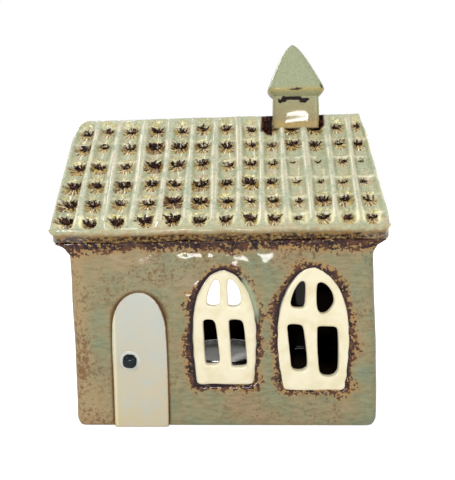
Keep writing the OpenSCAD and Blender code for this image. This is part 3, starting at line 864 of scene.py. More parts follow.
RIGHT_PANES = [
    [(29.9, 54.4), (30.1, 52.2), (31.5, 51.5), (34.8, 51.4), (35.9, 52.2), (36.1, 56.4), (36.2, 61.4),
     (35.5, 63), (33.9, 62.8), (31.5, 59.2)],
    [(40.8, 52.8), (41.4, 50), (42.9, 48.8), (45.4, 49.4), (47.9, 52.8), (48.1, 55.6), (46.5, 59.6),
     (43.8, 62.2), (41.4, 62.4), (40.8, 59.8)],
    [(28.4, 42.2), (28.5, 44), (29.8, 44.6), (33.8, 44.4), (35, 43.4), (35.6, 40.4), (36.9, 27.6),
     (36.5, 25.4), (34.9, 24.4), (31.8, 24.2), (30.1, 25.4), (29.8, 28.4)],
    [(40.9, 42), (41.1, 43.4), (42.5, 43.8), (47.8, 43.7), (49.4, 43), (49.9, 40.8), (50, 26.4), (49.4, 23.6),
     (47.5, 22), (44.1, 21.8), (42.1, 23), (41.4, 26)],
]

# %% The two windows
WINDOW_T = 4.0
WINDOW_EDGE = 0.8
WINDOW_VOXEL = 0.32
WINDOW_FACE = {"left_window": -HALF_D + 1.4, "right_window": -HALF_D + 0.4}
WINDOW_CUT = {"left_window": [LEFT_EDGE] + LEFT_PANES, "right_window": [RIGHT_EDGE] + RIGHT_PANES}


def dented(piece, size, depth, seed):
    """Gives the piece the shallow dents of soft clay."""
    points = points_of(piece)
    move_points(piece, points + normals_of(piece) * (depth * waves(points, size, seed))[:, None])


windows = {}
for node, outlines in WINDOW_CUT.items():
    slab = cut_slab(node + "_slab", outlines, WINDOW_FACE[node], WINDOW_T, WINDOW_EDGE, WINDOW_VOXEL)
    dented(slab, size=9, depth=0.09, seed=51)
    windows[node] = slab
    print(node, "box:", points_of(slab).min(0), points_of(slab).max(0))

# %% [markdown]
# ## Door and knob
# The door is a thinner slab, pressed into a shallow pocket of the wall so that a groove stays round
# it, where the brown glaze collects. It is cut as the windows are. The knob is a pellet of clay
# pressed on with a finger, which leaves a pale foot round a black top. A sphere would be too regular,
# so it is a section turned about an axis, with a function that bends the radius at each angle.

# %% Door
DOOR_CUT = [(-46.2, 1.6), (-45.8, 0.2), (-44.3, 0), (-24.5, 0), (-22.9, 0.2), (-22.6, 1.6), (-22.5, 18.4),
            (-22.7, 40.4), (-23.4, 47.4), (-26.3, 55), (-31.3, 59.2), (-37.1, 59.2), (-42.7, 55.4),
            (-46.1, 48.4), (-46.6, 38.4), (-46.3, 18.4)]
DOOR_T = 3.0
DOOR_EDGE = 0.7
DOOR_VOXEL = 0.4
DOOR_FACE = -HALF_D - 1.0
DOOR_LOW = 0.3
door = cut_slab("door_slab", [DOOR_CUT], DOOR_FACE, DOOR_T, DOOR_EDGE, DOOR_VOXEL, rounds=3)
dented(door, size=14, depth=0.12, seed=61)
door_points = points_of(door)
door_points[:, 2] = np.maximum(door_points[:, 2], DOOR_LOW)
move_points(door, door_points)
door_turn = normals_of(door)
side_turn = np.hypot(door_turn[:, 0], door_turn[:, 2])
paint(door, "edge", smooth(0.35, 0.75, side_turn) * (door_turn[:, 1] < 0.3))
# Painted highlight: a pale line just inside the door's left edge.
paint(door, "inner", bump_at(door_points[:, 0], min(DOOR_CUT)[0] + 1.5, 0.5))
print("door box:", door_points.min(0), door_points.max(0))


# %% Turned and pressed forms
def lathe(name, profile, around, shape=None):
    """A turned form about +Z from (radius, height) pairs. A radius of 0 closes it. shape bends the radius."""
    points = []
    faces = []
    starts = []
    turns = np.linspace(0, 2 * math.pi, around, endpoint=False)
    for radius, height in profile:
        starts.append(len(points))
        if radius == 0:
            points.append((0.0, 0.0, height))
            continue
        for a in turns:
            r = radius * (shape(a, radius, height) if shape else 1)
            points.append((r * math.cos(a), r * math.sin(a), height))
    starts.append(len(points))
    for (a, b), (c, d) in zip(zip(starts, starts[1:]), zip(starts[1:], starts[2:])):
        for i in range(around):
            j = (i + 1) % around
            low = (a,) if b - a == 1 else (a + i, a + j)
            high = (c,) if d - c == 1 else (c + j, c + i)
            faces.append(low + high)
    piece = new_piece(name, points, faces)
    face_outward(piece)
    return piece


# %% The knob
KNOB_AT = (-38.75, DOOR_FACE + 0.15, 29.5)
PRESSED_R = 4.2
PELLET_R = 2.95
PELLET_H = 3.05


def squarish(angle, radius, height):
    """The pellet is nearly square with round corners. Its pressed foot is only a little wider."""
    if radius > 3.4:
        return 1.04
    return (abs(math.cos(angle + 0.1)) ** 3 + abs(math.sin(angle + 0.1)) ** 3) ** (-1 / 3)


knob_foot = [(PRESSED_R * math.cos(a), 0.75 * math.sin(a)) for a in np.linspace(0, math.pi / 2 * 0.8, 7)]
knob_side = [(PELLET_R * math.cos(a) ** 0.6, PELLET_H - 2.5 + 2.5 * math.sin(a))
             for a in np.linspace(0, math.pi / 2 * 0.97, 14)]
knob_section = [(0, -0.3), (4.0, -0.3)] + knob_foot[:-1] + knob_side + [(0, PELLET_H)]
knob = lathe("door_knob_pellet", knob_section, around=64, shape=squarish)
knob_points = points_of(knob)
from_middle = np.hypot(knob_points[:, 0], knob_points[:, 1])
paint(knob, "pellet", smooth(0.45, 0.8, knob_points[:, 2]) * (from_middle < 3.2))
move_points(knob, knob_points[:, [0, 2, 1]] * (1, -1, 1) + KNOB_AT)
face_outward(knob)
print("knob box:", points_of(knob).min(0), points_of(knob).max(0))

# %% [markdown]
# ## Chimney
# The chimney is a solid little block with a pointed cap, paddled square while it was soft, so its
# corners are round and its faces bulge a little. Both are stacks of rounded squares: each level is a
# superellipse, and its exponent says how square it is. A bevelled cube would be just as round at
# every height, but here the cap can turn rounder towards its point.


# %% Stacks of rounded squares
def stack(name, levels, around=120):
    """A closed form from levels of (height, half width, half depth, squareness)."""
    turns = np.linspace(0, 2 * math.pi, around, endpoint=False)
    c, s = np.cos(turns), np.sin(turns)
    points = []
    for height, wide, deep, square in levels:
        points.append(np.stack([wide * np.sign(c) * np.abs(c) ** (2 / square),
                                deep * np.sign(s) * np.abs(s) ** (2 / square),
                                np.full(around, float(height))], 1))
    points = np.concatenate(points + [[[0, 0, levels[0][0]]], [[0, 0, levels[-1][0]]]])
    after = [(i + 1) % around for i in range(around)]
    low, high, top = len(levels) * around, len(levels) * around + 1, (len(levels) - 1) * around
    faces = [(r + i, r + after[i], r + around + after[i], r + around + i)
             for r in range(0, top, around) for i in range(around)]
    faces += [(low, after[i], i) for i in range(around)]
    faces += [(high, top + i, top + after[i]) for i in range(around)]
    piece = new_piece(name, points, faces)
    face_outward(piece)
    return piece


# %% Shaft and cap
SHAFT_IN = 0.15
SHAFT_TOP = float(cap_low[2])
SHAFT_FOOT = float(shaft_low[2])
half_shaft = (shaft_high - shaft_low)[:2] / 2 - SHAFT_IN
half_cap = (cap_high - cap_low)[:2] / 2 - SHAFT_IN
LIP_H = 3.6
CAP_TOP = float(cap_high[2]) - SHAFT_IN
CAP_LEAN = -1.3

shaft_levels = [(h, half_shaft[0] + 0.1 * math.sin(h / 3), half_shaft[1], 6.0)
                for h in np.linspace(SHAFT_FOOT, SHAFT_TOP + 0.4, 60)]
shaft = stack("chimney_shaft_block", shaft_levels)
overhang = half_cap - half_shaft
cap_levels = [(SHAFT_TOP + LIP_H * t, *(half_shaft + overhang * math.sin(t * math.pi / 2)), 5.5)
              for t in np.linspace(0, 1, 12)]
for way in np.linspace(0, 1, 60)[1:]:
    t = 1 - (1 - way) ** 2
    bulge = max(1 - t ** 1.12, 0.0) ** (0.86 - 0.16 * t)
    height = SHAFT_TOP + LIP_H + (CAP_TOP - SHAFT_TOP - LIP_H) * t
    cap_levels.append((height, *np.maximum(half_cap * bulge, 0.05), 2.6 + 2.9 * (1 - t) ** 0.6))
cap = stack("chimney_cap_block", cap_levels)
cap_points = points_of(cap)
up = np.clip((cap_points[:, 2] - SHAFT_TOP - LIP_H) / (CAP_TOP - SHAFT_TOP - LIP_H), 0, 1)
move_points(cap, cap_points + CAP_LEAN * up[:, None] * (1, 0, 0))

# Both get the dents of the paddle, and a lumpier place at the front of the shaft that breaks its glare.
GLARE_Z = 133.0
for block, seed in ((shaft, 71), (cap, 72)):
    block_points = points_of(block)
    low_front = bump_at(block_points[:, 2], GLARE_Z, 4.5) * smooth(-5, -6.5, block_points[:, 1])
    push = 0.07 * waves(block_points, 9, seed) + 0.05 * low_front * waves(block_points, 6, seed + 5)
    block_points += normals_of(block) * push[:, None]
    block_points[:, 0] += CHIMNEY_X
    move_points(block, block_points)
    print(block.name, "box:", block_points.min(0), block_points.max(0))

# %% Oxide on the chimney
# A squiggle of oxide lies in the crease under the cap, a spot and a corner of it on the cap's lip.
shaft_points = points_of(shaft)
sx, sy, sz = shaft_points.T
across_shaft = sx - CHIMNEY_X
squiggle = SHAFT_TOP - 1.6 + 0.55 * np.sin(across_shaft * 1.1 + 0.6) + 0.35 * np.sin(across_shaft * 2.9 + 1)
thick = 1.0 + 0.55 * smooth(1.5, -3, across_shaft) + 0.5 * np.sin(across_shaft * 1.9)
crease = smooth(1.0, 0.35, np.abs(sz - squiggle) / thick) * smooth(-4, -6, sy)
crease *= smooth(-9.0, -7.6, across_shaft) * smooth(6.6, 5.2, across_shaft)
foot_line = RIDGE_CENTRE_Z + RIDGE_R - np.maximum(np.abs(sy) - 2, 0) * math.tan(PITCH) * 0.9
paint(shaft, "oxide", crease)
paint(shaft, "foot", bump_at(sz, foot_line, 1.6))
cap_points = points_of(cap)
lip_front = smooth(-6.5, -8.0, cap_points[:, 1])
spot = bump_at(cap_points[:, 0], CHIMNEY_X - 1.4, 2.2) * bump_at(cap_points[:, 2], SHAFT_TOP + 2.9, 0.7)
corner = bump_at(cap_points[:, 0], CHIMNEY_X + POOL_RIGHT, 1.3)
corner *= bump_at(cap_points[:, 2], SHAFT_TOP + 4.4, 1.6)
paint(cap, "oxide", np.maximum(spot, 0.62 * corner) * lip_front)
paint(cap, "foot", 1.3 * bump_at(cap_points[:, 2], SHAFT_TOP + 2.7, 0.9))
print("oxide in the crease, as a share of the points:", round(float(np.mean(crease > 0.5)), 3))

# %% [markdown]
# ## The tealight
# The tealight is the one piece that isn't ceramic: a drawn aluminium cup with a rolled rim and faint
# flutes, where the sheet was gathered as it was pressed, filled with wax that crept up the wall
# while it set. It stands loose on the floor and is lifted out through the opening at the back.
# Cup, wax and wick are all round, so the turning function of the knob makes them. Blender's screw
# modifier turns a section too, but can't bend it into the cup's flutes or the wick's braid.

# %% The cup
cup_low, cup_high = box_mm("tealight_cup")
CUP_AT = ((cup_low + cup_high) / 2)[:2]
CUP_R = float(cup_high[0] - cup_low[0]) / 2
CUP_H = float(cup_high[2] - cup_low[2])
SHEET = 0.35
FOOT_R = 0.9
ROLL_R = 0.5
WALL_LEAN = 0.35
FLUTES = 40
FLUTE_DEPTH = 0.10


def fluted(angle, radius, height):
    """The flutes of the pressed wall, which fade out at the rim and on the flat base."""
    on_wall = math.exp(-((height - CUP_H * 0.42) / (CUP_H * 0.30)) ** 4) * (radius > CUP_R * 0.9)
    return 1 - FLUTE_DEPTH / CUP_R * on_wall * (0.5 + 0.5 * math.cos(FLUTES * angle)) ** 2


def cup_profile():
    """The cup's section: out along the base, up the wall, round the rolled rim and down inside."""
    base_r = CUP_R - FOOT_R
    wall_rise = CUP_H - 2 * ROLL_R - FOOT_R
    base = [(0, 0.25), (base_r * 0.5, 0.2), (base_r * 0.93, 0.2), (base_r - FOOT_R, 0.0)]
    base += [(base_r - FOOT_R + FOOT_R * math.sin(a), FOOT_R - FOOT_R * math.cos(a))
             for a in np.linspace(0.3, math.pi / 2, 6)]
    wall = [(base_r + WALL_LEAN * t, FOOT_R + wall_rise * t) for t in np.linspace(0, 1, 22)[1:]]
    roll = [(CUP_R - ROLL_R + ROLL_R * math.cos(a), CUP_H - ROLL_R + ROLL_R * math.sin(a))
            for a in np.linspace(-math.pi * 0.35, math.pi * 0.95, 12)]
    inside = [(base_r + WALL_LEAN * t - SHEET, FOOT_R + wall_rise * t) for t in np.linspace(1, 0, 10)]
    return base + wall + roll + inside + [(base_r - 1.2, SHEET + 0.2), (0, SHEET + 0.25)]


cup = lathe("tealight_cup_sheet", cup_profile(), around=240, shape=fluted)
print("cup radius and height in mm:", round(CUP_R, 2), round(CUP_H, 2))

# %% The wax
# The wax sank as it set: it crept up the cup's wall and the wick, and left a shallow well between them.
WAX_TOP = float(box_mm("tealight_wax")[1][2])
WAX_R = CUP_R - 1.05
CREEP_H = 0.42
WELL_DEPTH = 0.30
NECK_H = 0.35
NECK_R = 1.2
wax_rise = WAX_TOP - float(cup_low[2])
wax_section = [(0, SHEET + 0.4), (WAX_R - 1.3, SHEET + 0.4), (WAX_R - 0.35, 2.0), (WAX_R, wax_rise - 0.05),
               (WAX_R - 0.15, wax_rise)]
for r in np.linspace(WAX_R - 0.5, NECK_R, 26):
    creep = CREEP_H * math.exp(-(WAX_R - r) / 0.9)
    well = WELL_DEPTH * math.exp(-((r - 3.4) / 2.2) ** 2)
    neck = NECK_H * math.exp(-(r - NECK_R) / 0.7)
    wax_section.append((r, wax_rise - CREEP_H + creep - well + neck))
wax = lathe("tealight_wax_fill", wax_section + [(0, wax_rise + 0.05)], around=120)
print("wax top in mm:", round(WAX_TOP, 2))

# %% The wick
wick_low, wick_high = box_mm("tealight_wick")
WICK_FOOT = float(wick_low[2])
WICK_TIP = float(wick_high[2]) - 0.05
WICK_R = 0.72
BRAID_DEPTH = 0.10


def braided(angle, radius, height):
    """The crossing strands of the braid, and the narrower tip."""
    strands = math.sin(3 * angle + height * 4.2) * math.sin(3 * angle - height * 4.2)
    return (1 + BRAID_DEPTH * strands) * (1 - 0.25 * smooth(WICK_TIP - 0.7, WICK_TIP, height))


wick_section = [(WICK_R, height) for height in np.linspace(WICK_FOOT, WICK_TIP, 90)]
wick = lathe("tealight_wick_cord", [(0, WICK_FOOT)] + wick_section + [(0, WICK_TIP)], around=24,
             shape=braided)
for piece, rise in ((cup, float(cup_low[2])), (wax, float(cup_low[2])), (wick, 0.0)):
    move_points(piece, points_of(piece) + (CUP_AT[0], CUP_AT[1], rise))
print("wick box:", points_of(wick).min(0), points_of(wick).max(0))

# %% [markdown]
# ## Glazes
# A glaze is coloured glass. It is thick and pale where it pooled, thin over edges, and it breaks into
# other colours where iron oxide lies under it. So every glaze here starts from soft mottling at the
# size that the photo shows, and then mixes in what the painted attributes say. Pattern sizes are
# real: a node's scale is one over the size, in metres. Only the finest speckle, which is a few
# tenths of a millimetre on the real glaze, is drawn at about 1 mm, because a pixel covers half of that.

# %% Pattern scale and clear coat
def per(size):
    """The scale of a noise node whose patches are about size mm across."""
    return 1 / (size * MM)


# The glass at the surface of a glossy glaze is a thin clear coat that mirrors the lamps. The coloured
# body under it only scatters light, so it has no shine of its own.
CLEAR_COAT = {"Specular IOR Level": 0.0, "Coat Weight": 0.36, "Coat Roughness": 0.05}

# %% [markdown]
# The walls wear an ash glaze that ran in the kiln. It is grey-green where it lies thick and olive
# brown where it is thin over the clay, in cloudy streaks that lie flat along the wall. Rust flecks
# gather at the left edge, at the foot there, and faintly over the door. All this could be painted on
# a picture and wrapped round the walls. Noise in the object's own coordinates was chosen, because it
# has no seams, covers the sides that the photo doesn't show, and stays sharp at any size.

# %% Wall glaze
# Stoneware under a runny ash glaze, dipped and fired: the eye sees soft mottling under a thin gloss.
wall_glaze, tree, shader = new_material("running_ash_glaze")
place = add(tree, "TexCoord").outputs["Object"]
masks = {mask: add(tree, "Attribute", {"attribute_name": mask}).outputs["Fac"]
         for mask in ("ring", "band", "inside_glaze_and_shade", "groove", "bevel", "outline", "rust")}
mottle = add(tree, "TexNoise", {"Scale": per(15), "Detail": 6.0, "Roughness": 0.65}, {"Vector": place})
body = add(tree, "ValToRGB",
           {"stops": ((0.34, "#7f8873"), (0.44, "#8b8b6e"), (0.54, "#93896a"), (0.66, "#9a876a"))},
           {"Fac": mottle})
flat = add(tree, "Mapping", {"Scale": (1.0, 1.0, 3.5)}, {"Vector": place})
streak = add(tree, "TexNoise", {"Scale": per(5), "Detail": 6.0, "Roughness": 0.7}, {"Vector": flat})
shade = add(tree, "ValToRGB",
            {"stops": ((0.32, "#cccbc4"), (0.45, "#e6e4dc"), (0.55, "#f3f1ea"), (0.70, "#ffffff"))},
            {"Fac": streak})
body = add(tree, "Mix", {"data_type": "RGBA", "blend_type": "MULTIPLY", 0: 1.0}, {6: body, 7: shade})
grain = add(tree, "TexNoise", {"Scale": per(1.4), "Detail": 5.0, "Roughness": 0.7}, {"Vector": place})
zone = add(tree, "TexNoise", {"Scale": per(18), "Detail": 3.0}, {"Vector": place})
zone = add(tree, "Math", {"operation": "MULTIPLY_ADD", 1: 0.22}, {0: masks["rust"], 2: zone})
fleck_sum = add(tree, "Math", {"operation": "MULTIPLY_ADD", 1: 0.55}, {0: zone, 2: grain})
fleck_on = add(tree, "MapRange", {"From Min": 0.86, "From Max": 0.98, "To Max": 0.8}, {"Value": fleck_sum})
warm_on = add(tree, "Math", {"operation": "MULTIPLY", 1: 0.6}, {0: masks["rust"]})
body = add(tree, "Mix", {"data_type": "RGBA", 7: "#a98a62"}, {0: warm_on, 6: body})
body = add(tree, "Mix", {"data_type": "RGBA", 7: "#6b4a2c"}, {0: fleck_on, 6: body})

# %% [markdown]
# The crust of iron oxide under the eave and round the windows is two layers: an olive brown stain,
# and dark blotches on it. Both are cut off by noise, so they break up towards their edges.

# %% Crust on the walls
clump = add(tree, "TexNoise", {"Scale": per(3.4), "Detail": 4.0, "Roughness": 0.6}, {"Vector": place})
blotch = add(tree, "TexNoise", {"Scale": per(1.7), "Detail": 5.0, "Roughness": 0.65}, {"Vector": place})
near = add(tree, "Math", {"operation": "MAXIMUM"}, {0: masks["ring"], 1: masks["band"]})
stain_sum = add(tree, "Math", {"operation": "MULTIPLY_ADD", 1: 1.5}, {0: clump, 2: near})
stain_on = add(tree, "MapRange", {"From Min": 0.92, "From Max": 1.35, "To Max": 0.85}, {"Value": stain_sum})
stain_on = add(tree, "Math", {"operation": "MINIMUM"}, {0: stain_on, 1: near})
stained = add(tree, "Mix", {"data_type": "RGBA", 7: "#a17a48"}, {0: stain_on, 6: body})
dark_tone = add(tree, "ValToRGB", {"stops": ((0.42, "#1b1016"), (0.52, "#341e1f"), (0.62, "#5a3a26"))},
                {"Fac": clump})
dark_sum = add(tree, "Math", {"operation": "MULTIPLY_ADD", 1: 0.33}, {0: near, 2: blotch})
dark_sum = add(tree, "Math", {"operation": "MULTIPLY_ADD", 1: 0.35}, {0: clump, 2: dark_sum})
dark_on = add(tree, "MapRange", {"From Min": 0.86, "From Max": 0.93}, {"Value": dark_sum})
some = add(tree, "MapRange", {"From Min": 0.05, "From Max": 0.25}, {"Value": near})
dark_on = add(tree, "Math", {"operation": "MULTIPLY"}, {0: dark_on, 1: some})
crusted = add(tree, "Mix", {"data_type": "RGBA"}, {0: dark_on, 6: stained, 7: dark_tone})
bevelled = add(tree, "Mix", {"data_type": "RGBA", 7: "#949b7e"}, {0: masks["bevel"], 6: crusted})
# Painted shadow: the gaps round the windows turn near black.
groove_shadow_sum = add(tree, "Math", {"operation": "MULTIPLY_ADD", 1: 1.1}, {0: blotch, 2: masks["groove"]})
groove_shadow_on = add(tree, "MapRange", {"From Min": 1.0, "From Max": 1.25}, {"Value": groove_shadow_sum})
lined = add(tree, "Mix", {"data_type": "RGBA", 7: "#24151b"}, {0: groove_shadow_on, 6: bevelled})
edge_on = add(tree, "Math", {"operation": "MULTIPLY", 1: 0.4}, {0: masks["outline"]})
lined = add(tree, "Mix", {"data_type": "RGBA", 7: "#7a5428"}, {0: edge_on, 6: lined})
# Painted shade: the inside of the house is near black, partly a dark glaze and partly shade painted in.
final = add(tree, "Mix", {"data_type": "RGBA", 7: "#231a15"}, {0: masks["inside_glaze_and_shade"], 6: lined})
depth = add(tree, "MapRange", {"To Min": 0.15, "To Max": 0.8}, {"Value": stain_on})
relief = add(tree, "Bump", {"Distance": 0.3 * MM}, {"Strength": depth, "Height": blotch})
set_up(shader, CLEAR_COAT | {"Roughness": 0.5}, {"Base Color": final, "Normal": relief})
print(wall_glaze.name, len(tree.nodes), "nodes")

# %% [markdown]
# The roof is the glossiest part: a pale sage glaze over brushed iron oxide. It is cool green on the
# sides of the troughs, pinkish cream on the ribs, and breaks to pale cream on every thin crest; the
# pale lines along the ribs and lips are partly painted highlights. Tiles
# and marks could be separate pieces with a colour each, but on the real roof one glaze runs over all
# of it. So one material reads the masks that the relief left behind, and lays the tones over each
# other in the order in which they lie on the clay: sage, fan and gold, brown, dark.

# %% Roof glaze
# Sage glaze brushed over iron oxide and fired glossy: wet and pale on the ribs, dark and duller in
# the nicks, where the oxide came through.
roof_glaze, tree, shader = new_material("sage_glaze_over_iron_oxide")
place = add(tree, "TexCoord").outputs["Object"]
masks = {mask: add(tree, "Attribute", {"attribute_name": mask}).outputs["Fac"]
         for mask in ("mark", "rib", "crest", "rim", "band", "under", "pool", "honey")}
mottle = add(tree, "TexNoise", {"Scale": per(6), "Detail": 5.0, "Roughness": 0.6}, {"Vector": place})
trough_tone = add(tree, "ValToRGB",
                  {"stops": ((0.34, "#9fab93"), (0.44, "#aaaf92"), (0.53, "#b4b391"), (0.62, "#b8a88e"))},
                  {"Fac": mottle})
rib_tone = add(tree, "ValToRGB", {"stops": ((0.36, "#a9b19c"), (0.50, "#b9b7a1"), (0.64, "#c3b8a3"))},
               {"Fac": mottle})
side_on = add(tree, "MapRange", {"From Min": 0.02, "From Max": 0.5, "To Max": 0.75}, {"Value": masks["rib"]})
rib_on = add(tree, "MapRange", {"From Min": 0.55, "From Max": 0.95}, {"Value": masks["rib"]})
sided = add(tree, "Mix", {"data_type": "RGBA", 7: "#9fad8d"}, {0: side_on, 6: trough_tone})
sage = add(tree, "Mix", {"data_type": "RGBA"}, {0: rib_on, 6: sided, 7: rib_tone})
fine = add(tree, "TexNoise", {"Scale": per(1.2), "Detail": 5.0, "Roughness": 0.7}, {"Vector": place})
speckle = add(tree, "MapRange", {"From Min": 0.38, "From Max": 0.68, "To Max": 0.5}, {"Value": fine})
clouded = add(tree, "Mix", {"data_type": "RGBA", 7: "#d0ccae"}, {0: speckle, 6: sage})
grain = add(tree, "TexNoise", {"Scale": per(0.9), "Detail": 4.0, "Roughness": 0.7}, {"Vector": place})
grain = add(tree, "ValToRGB", {"stops": ((0.36, "#d9dad0"), (0.48, "#f1f1ea"), (0.60, "#ffffff"))},
            {"Fac": grain})
clouded = add(tree, "Mix", {"data_type": "RGBA", "blend_type": "MULTIPLY", 0: 1.0}, {6: clouded, 7: grain})
# Painted highlight: the pale cream on the crests and lips is partly the glaze breaking pale and partly
# painted highlight.
crest_break = add(tree, "MapRange", {"From Min": 0.40, "From Max": 0.52}, {"Value": mottle})
crest_on = add(tree, "Math", {"operation": "MULTIPLY"}, {0: masks["crest"], 1: crest_break})
clouded = add(tree, "Mix", {"data_type": "RGBA", 7: "#efedd3"}, {0: crest_on, 6: clouded})

# %% [markdown]
# Each nick gets a dark mark with rays, drawn in the nick's own polar coordinates: the painted vector
# holds how far a point lies across and below the nick's lip. The mark is a flat ellipse, the tool's
# stab, with rays whose reach is a noise over the angle. A fan of brown, gold and cream streaks lies
# below it, and gold above it. One more noise moves it all a little, so no two marks are alike.

# %% The mark's own coordinates
nick = add(tree, "Attribute", {"attribute_name": "nick"}).outputs["Vector"]
jitter = add(tree, "TexNoise", {"Scale": per(1.5), "Detail": 3.0, "Roughness": 0.6}, {"Vector": place})
shift = add(tree, "VectorMath", {"operation": "MULTIPLY_ADD", 1: (2.6, 2.6, 0), 2: (-1.3, -1.3, 0)},
            {0: jitter.outputs["Color"]})
spot = add(tree, "VectorMath", {"operation": "ADD"}, {0: nick, 1: shift})
spot = add(tree, "SeparateXYZ", links={0: spot})
across_square = add(tree, "Math", {"operation": "MULTIPLY"}, {0: spot.outputs["X"], 1: spot.outputs["X"]})
fall = add(tree, "Math", {"operation": "SUBTRACT", 1: 0.75}, {0: spot.outputs["Y"]})
fall_square = add(tree, "Math", {"operation": "MULTIPLY"}, {0: fall, 1: fall})
angle = add(tree, "Math", {"operation": "ARCTAN2"}, {0: fall, 1: spot.outputs["X"]})
arms = add(tree, "Math", {"operation": "MULTIPLY_ADD", 1: 0.11}, {0: across_square, 2: fall})
square = add(tree, "Math", {"operation": "MULTIPLY_ADD", 1: 0.6}, {0: across_square, 2: fall_square})
radius = add(tree, "Math", {"operation": "SQRT"}, {0: square})

# %% The stab and its rays
half_wide = add(tree, "Math", {"operation": "MULTIPLY_ADD", 1: 3.2, 2: 0.8}, {0: masks["mark"]})
half_high = add(tree, "Math", {"operation": "MULTIPLY_ADD", 1: 0.5, 2: 0.3}, {0: masks["mark"]})
share_x = add(tree, "Math", {"operation": "DIVIDE"}, {0: spot.outputs["X"], 1: half_wide})
share_x = add(tree, "Math", {"operation": "POWER", 1: 2.0}, {0: share_x})
share_y = add(tree, "Math", {"operation": "DIVIDE"}, {0: arms, 1: half_high})
share_y = add(tree, "Math", {"operation": "POWER", 1: 2.0}, {0: share_y})
share = add(tree, "Math", {"operation": "ADD"}, {0: share_x, 1: share_y})
stab = add(tree, "Math", {"operation": "SUBTRACT", 0: 1.0}, {1: share})
around = add(tree, "Math", {"operation": "MULTIPLY", 1: 1.9}, {0: angle})
ray_at = add(tree, "CombineXYZ", links={"X": around, "Y": spot.outputs["Z"]})
ray = add(tree, "TexNoise", {"Scale": 1.0, "Detail": 0.0}, {"Vector": ray_at})
reach = add(tree, "MapRange", {"From Min": 0.38, "From Max": 0.62, "To Min": 0.4, "To Max": 3.0},
            {"Value": ray})
ray_to = add(tree, "Math", {"operation": "MULTIPLY"}, {0: reach, 1: masks["mark"]})
rays = add(tree, "Math", {"operation": "SUBTRACT"}, {0: ray_to, 1: radius})
whole = add(tree, "Math", {"operation": "MAXIMUM"}, {0: stab, 1: rays})
near = add(tree, "MapRange", {"From Min": 0.04, "From Max": 0.16}, {"Value": masks["mark"]})

# %% The fan below the stab, and the gold above it
fan_around = add(tree, "Math", {"operation": "MULTIPLY", 1: 5.2}, {0: angle})
fan_at = add(tree, "CombineXYZ", links={"X": fan_around, "Y": spot.outputs["Z"]})
fan = add(tree, "TexNoise", {"Scale": 1.0, "Detail": 2.0, "Roughness": 0.6}, {"Vector": fan_at})
fan_browned = add(tree, "Math", {"operation": "MULTIPLY_ADD", 1: -0.10}, {0: masks["mark"], 2: fan})
fan_value = add(tree, "Math", {"operation": "ADD", 1: 0.05}, {0: fan_browned})
# The palest cream stripes of the fan are partly pale glaze on the flutes' ridges and partly painted
# highlight.
fan_tone = add(tree, "ValToRGB",
               {"stops": ((0.40, "#2b1913"), (0.46, "#6b4428"), (0.50, "#a4844c"), (0.55, "#d8cc92"),
                          (0.62, "#f4f0d8"))},
               {"Fac": fan_value})
patch = add(tree, "TexNoise", {"Scale": per(2.4), "Detail": 3.0, "Roughness": 0.6}, {"Vector": place})
golden = add(tree, "MapRange", {"From Min": 0.50, "From Max": 0.60, "To Max": 0.5}, {"Value": patch})
fan_tone = add(tree, "Mix", {"data_type": "RGBA", 7: "#c0a23c"}, {0: golden, 6: fan_tone})
fan_reach = add(tree, "Math", {"operation": "MULTIPLY_ADD", 1: 8.0, 2: 0.6}, {0: masks["mark"]})
fan_wide = add(tree, "Math", {"operation": "MULTIPLY_ADD", 1: 1.5}, {0: across_square, 2: square})
fan_ragged = add(tree, "Math", {"operation": "MULTIPLY_ADD", 1: 5.0, 2: -2.5}, {0: patch})
fan_radius = add(tree, "Math", {"operation": "SQRT"}, {0: fan_wide})
fan_radius = add(tree, "Math", {"operation": "ADD"}, {0: fan_radius, 1: fan_ragged})
fan_in = add(tree, "Math", {"operation": "SUBTRACT"}, {0: fan_reach, 1: fan_radius})
fan_on = add(tree, "MapRange", {"From Min": -0.8, "From Max": 0.8}, {"Value": fan_in})
is_below = add(tree, "MapRange", {"From Min": -0.8, "From Max": 0.2, "To Min": 0.25}, {"Value": fall})
fan_on = add(tree, "Math", {"operation": "MULTIPLY"}, {0: fan_on, 1: is_below})
rich = add(tree, "MapRange", {"From Min": 0.12, "From Max": 0.4, "To Max": 0.95}, {"Value": masks["mark"]})
fan_on = add(tree, "Math", {"operation": "MULTIPLY"}, {0: fan_on, 1: rich})
fanned = add(tree, "Mix", {"data_type": "RGBA"}, {0: fan_on, 6: clouded, 7: fan_tone})
above = add(tree, "Math", {"operation": "ADD", 1: 2.6}, {0: fall})
above = add(tree, "Math", {"operation": "POWER", 1: 2.0}, {0: above})
above = add(tree, "Math", {"operation": "MULTIPLY_ADD", 1: 0.22}, {0: across_square, 2: above})
gold_in = add(tree, "MapRange", {"From Min": 3.6, "From Max": 1.4}, {"Value": above})
gold_some = add(tree, "MapRange", {"From Min": 0.47, "From Max": 0.56}, {"Value": patch})
gold_rich = add(tree, "MapRange", {"From Min": 0.25, "From Max": 0.6, "To Max": 0.95},
                {"Value": masks["mark"]})
gold_on = add(tree, "Math", {"operation": "MULTIPLY"}, {0: gold_in, 1: gold_some})
gold_on = add(tree, "Math", {"operation": "MULTIPLY"}, {0: gold_on, 1: gold_rich})
# The palest stop of the gold is partly pale glaze and partly painted highlight.
gold = add(tree, "ValToRGB",
           {"stops": ((0.38, "#6f5a2c"), (0.46, "#a8964a"), (0.54, "#d3cb86"), (0.62, "#f0ecd0"))},
           {"Fac": fine})
gilded = add(tree, "Mix", {"data_type": "RGBA"}, {0: gold_on, 6: fanned, 7: gold})
rimmed = add(tree, "Mix", {"data_type": "RGBA", 7: "#f6f0c4"}, {0: masks["rim"], 6: gilded})

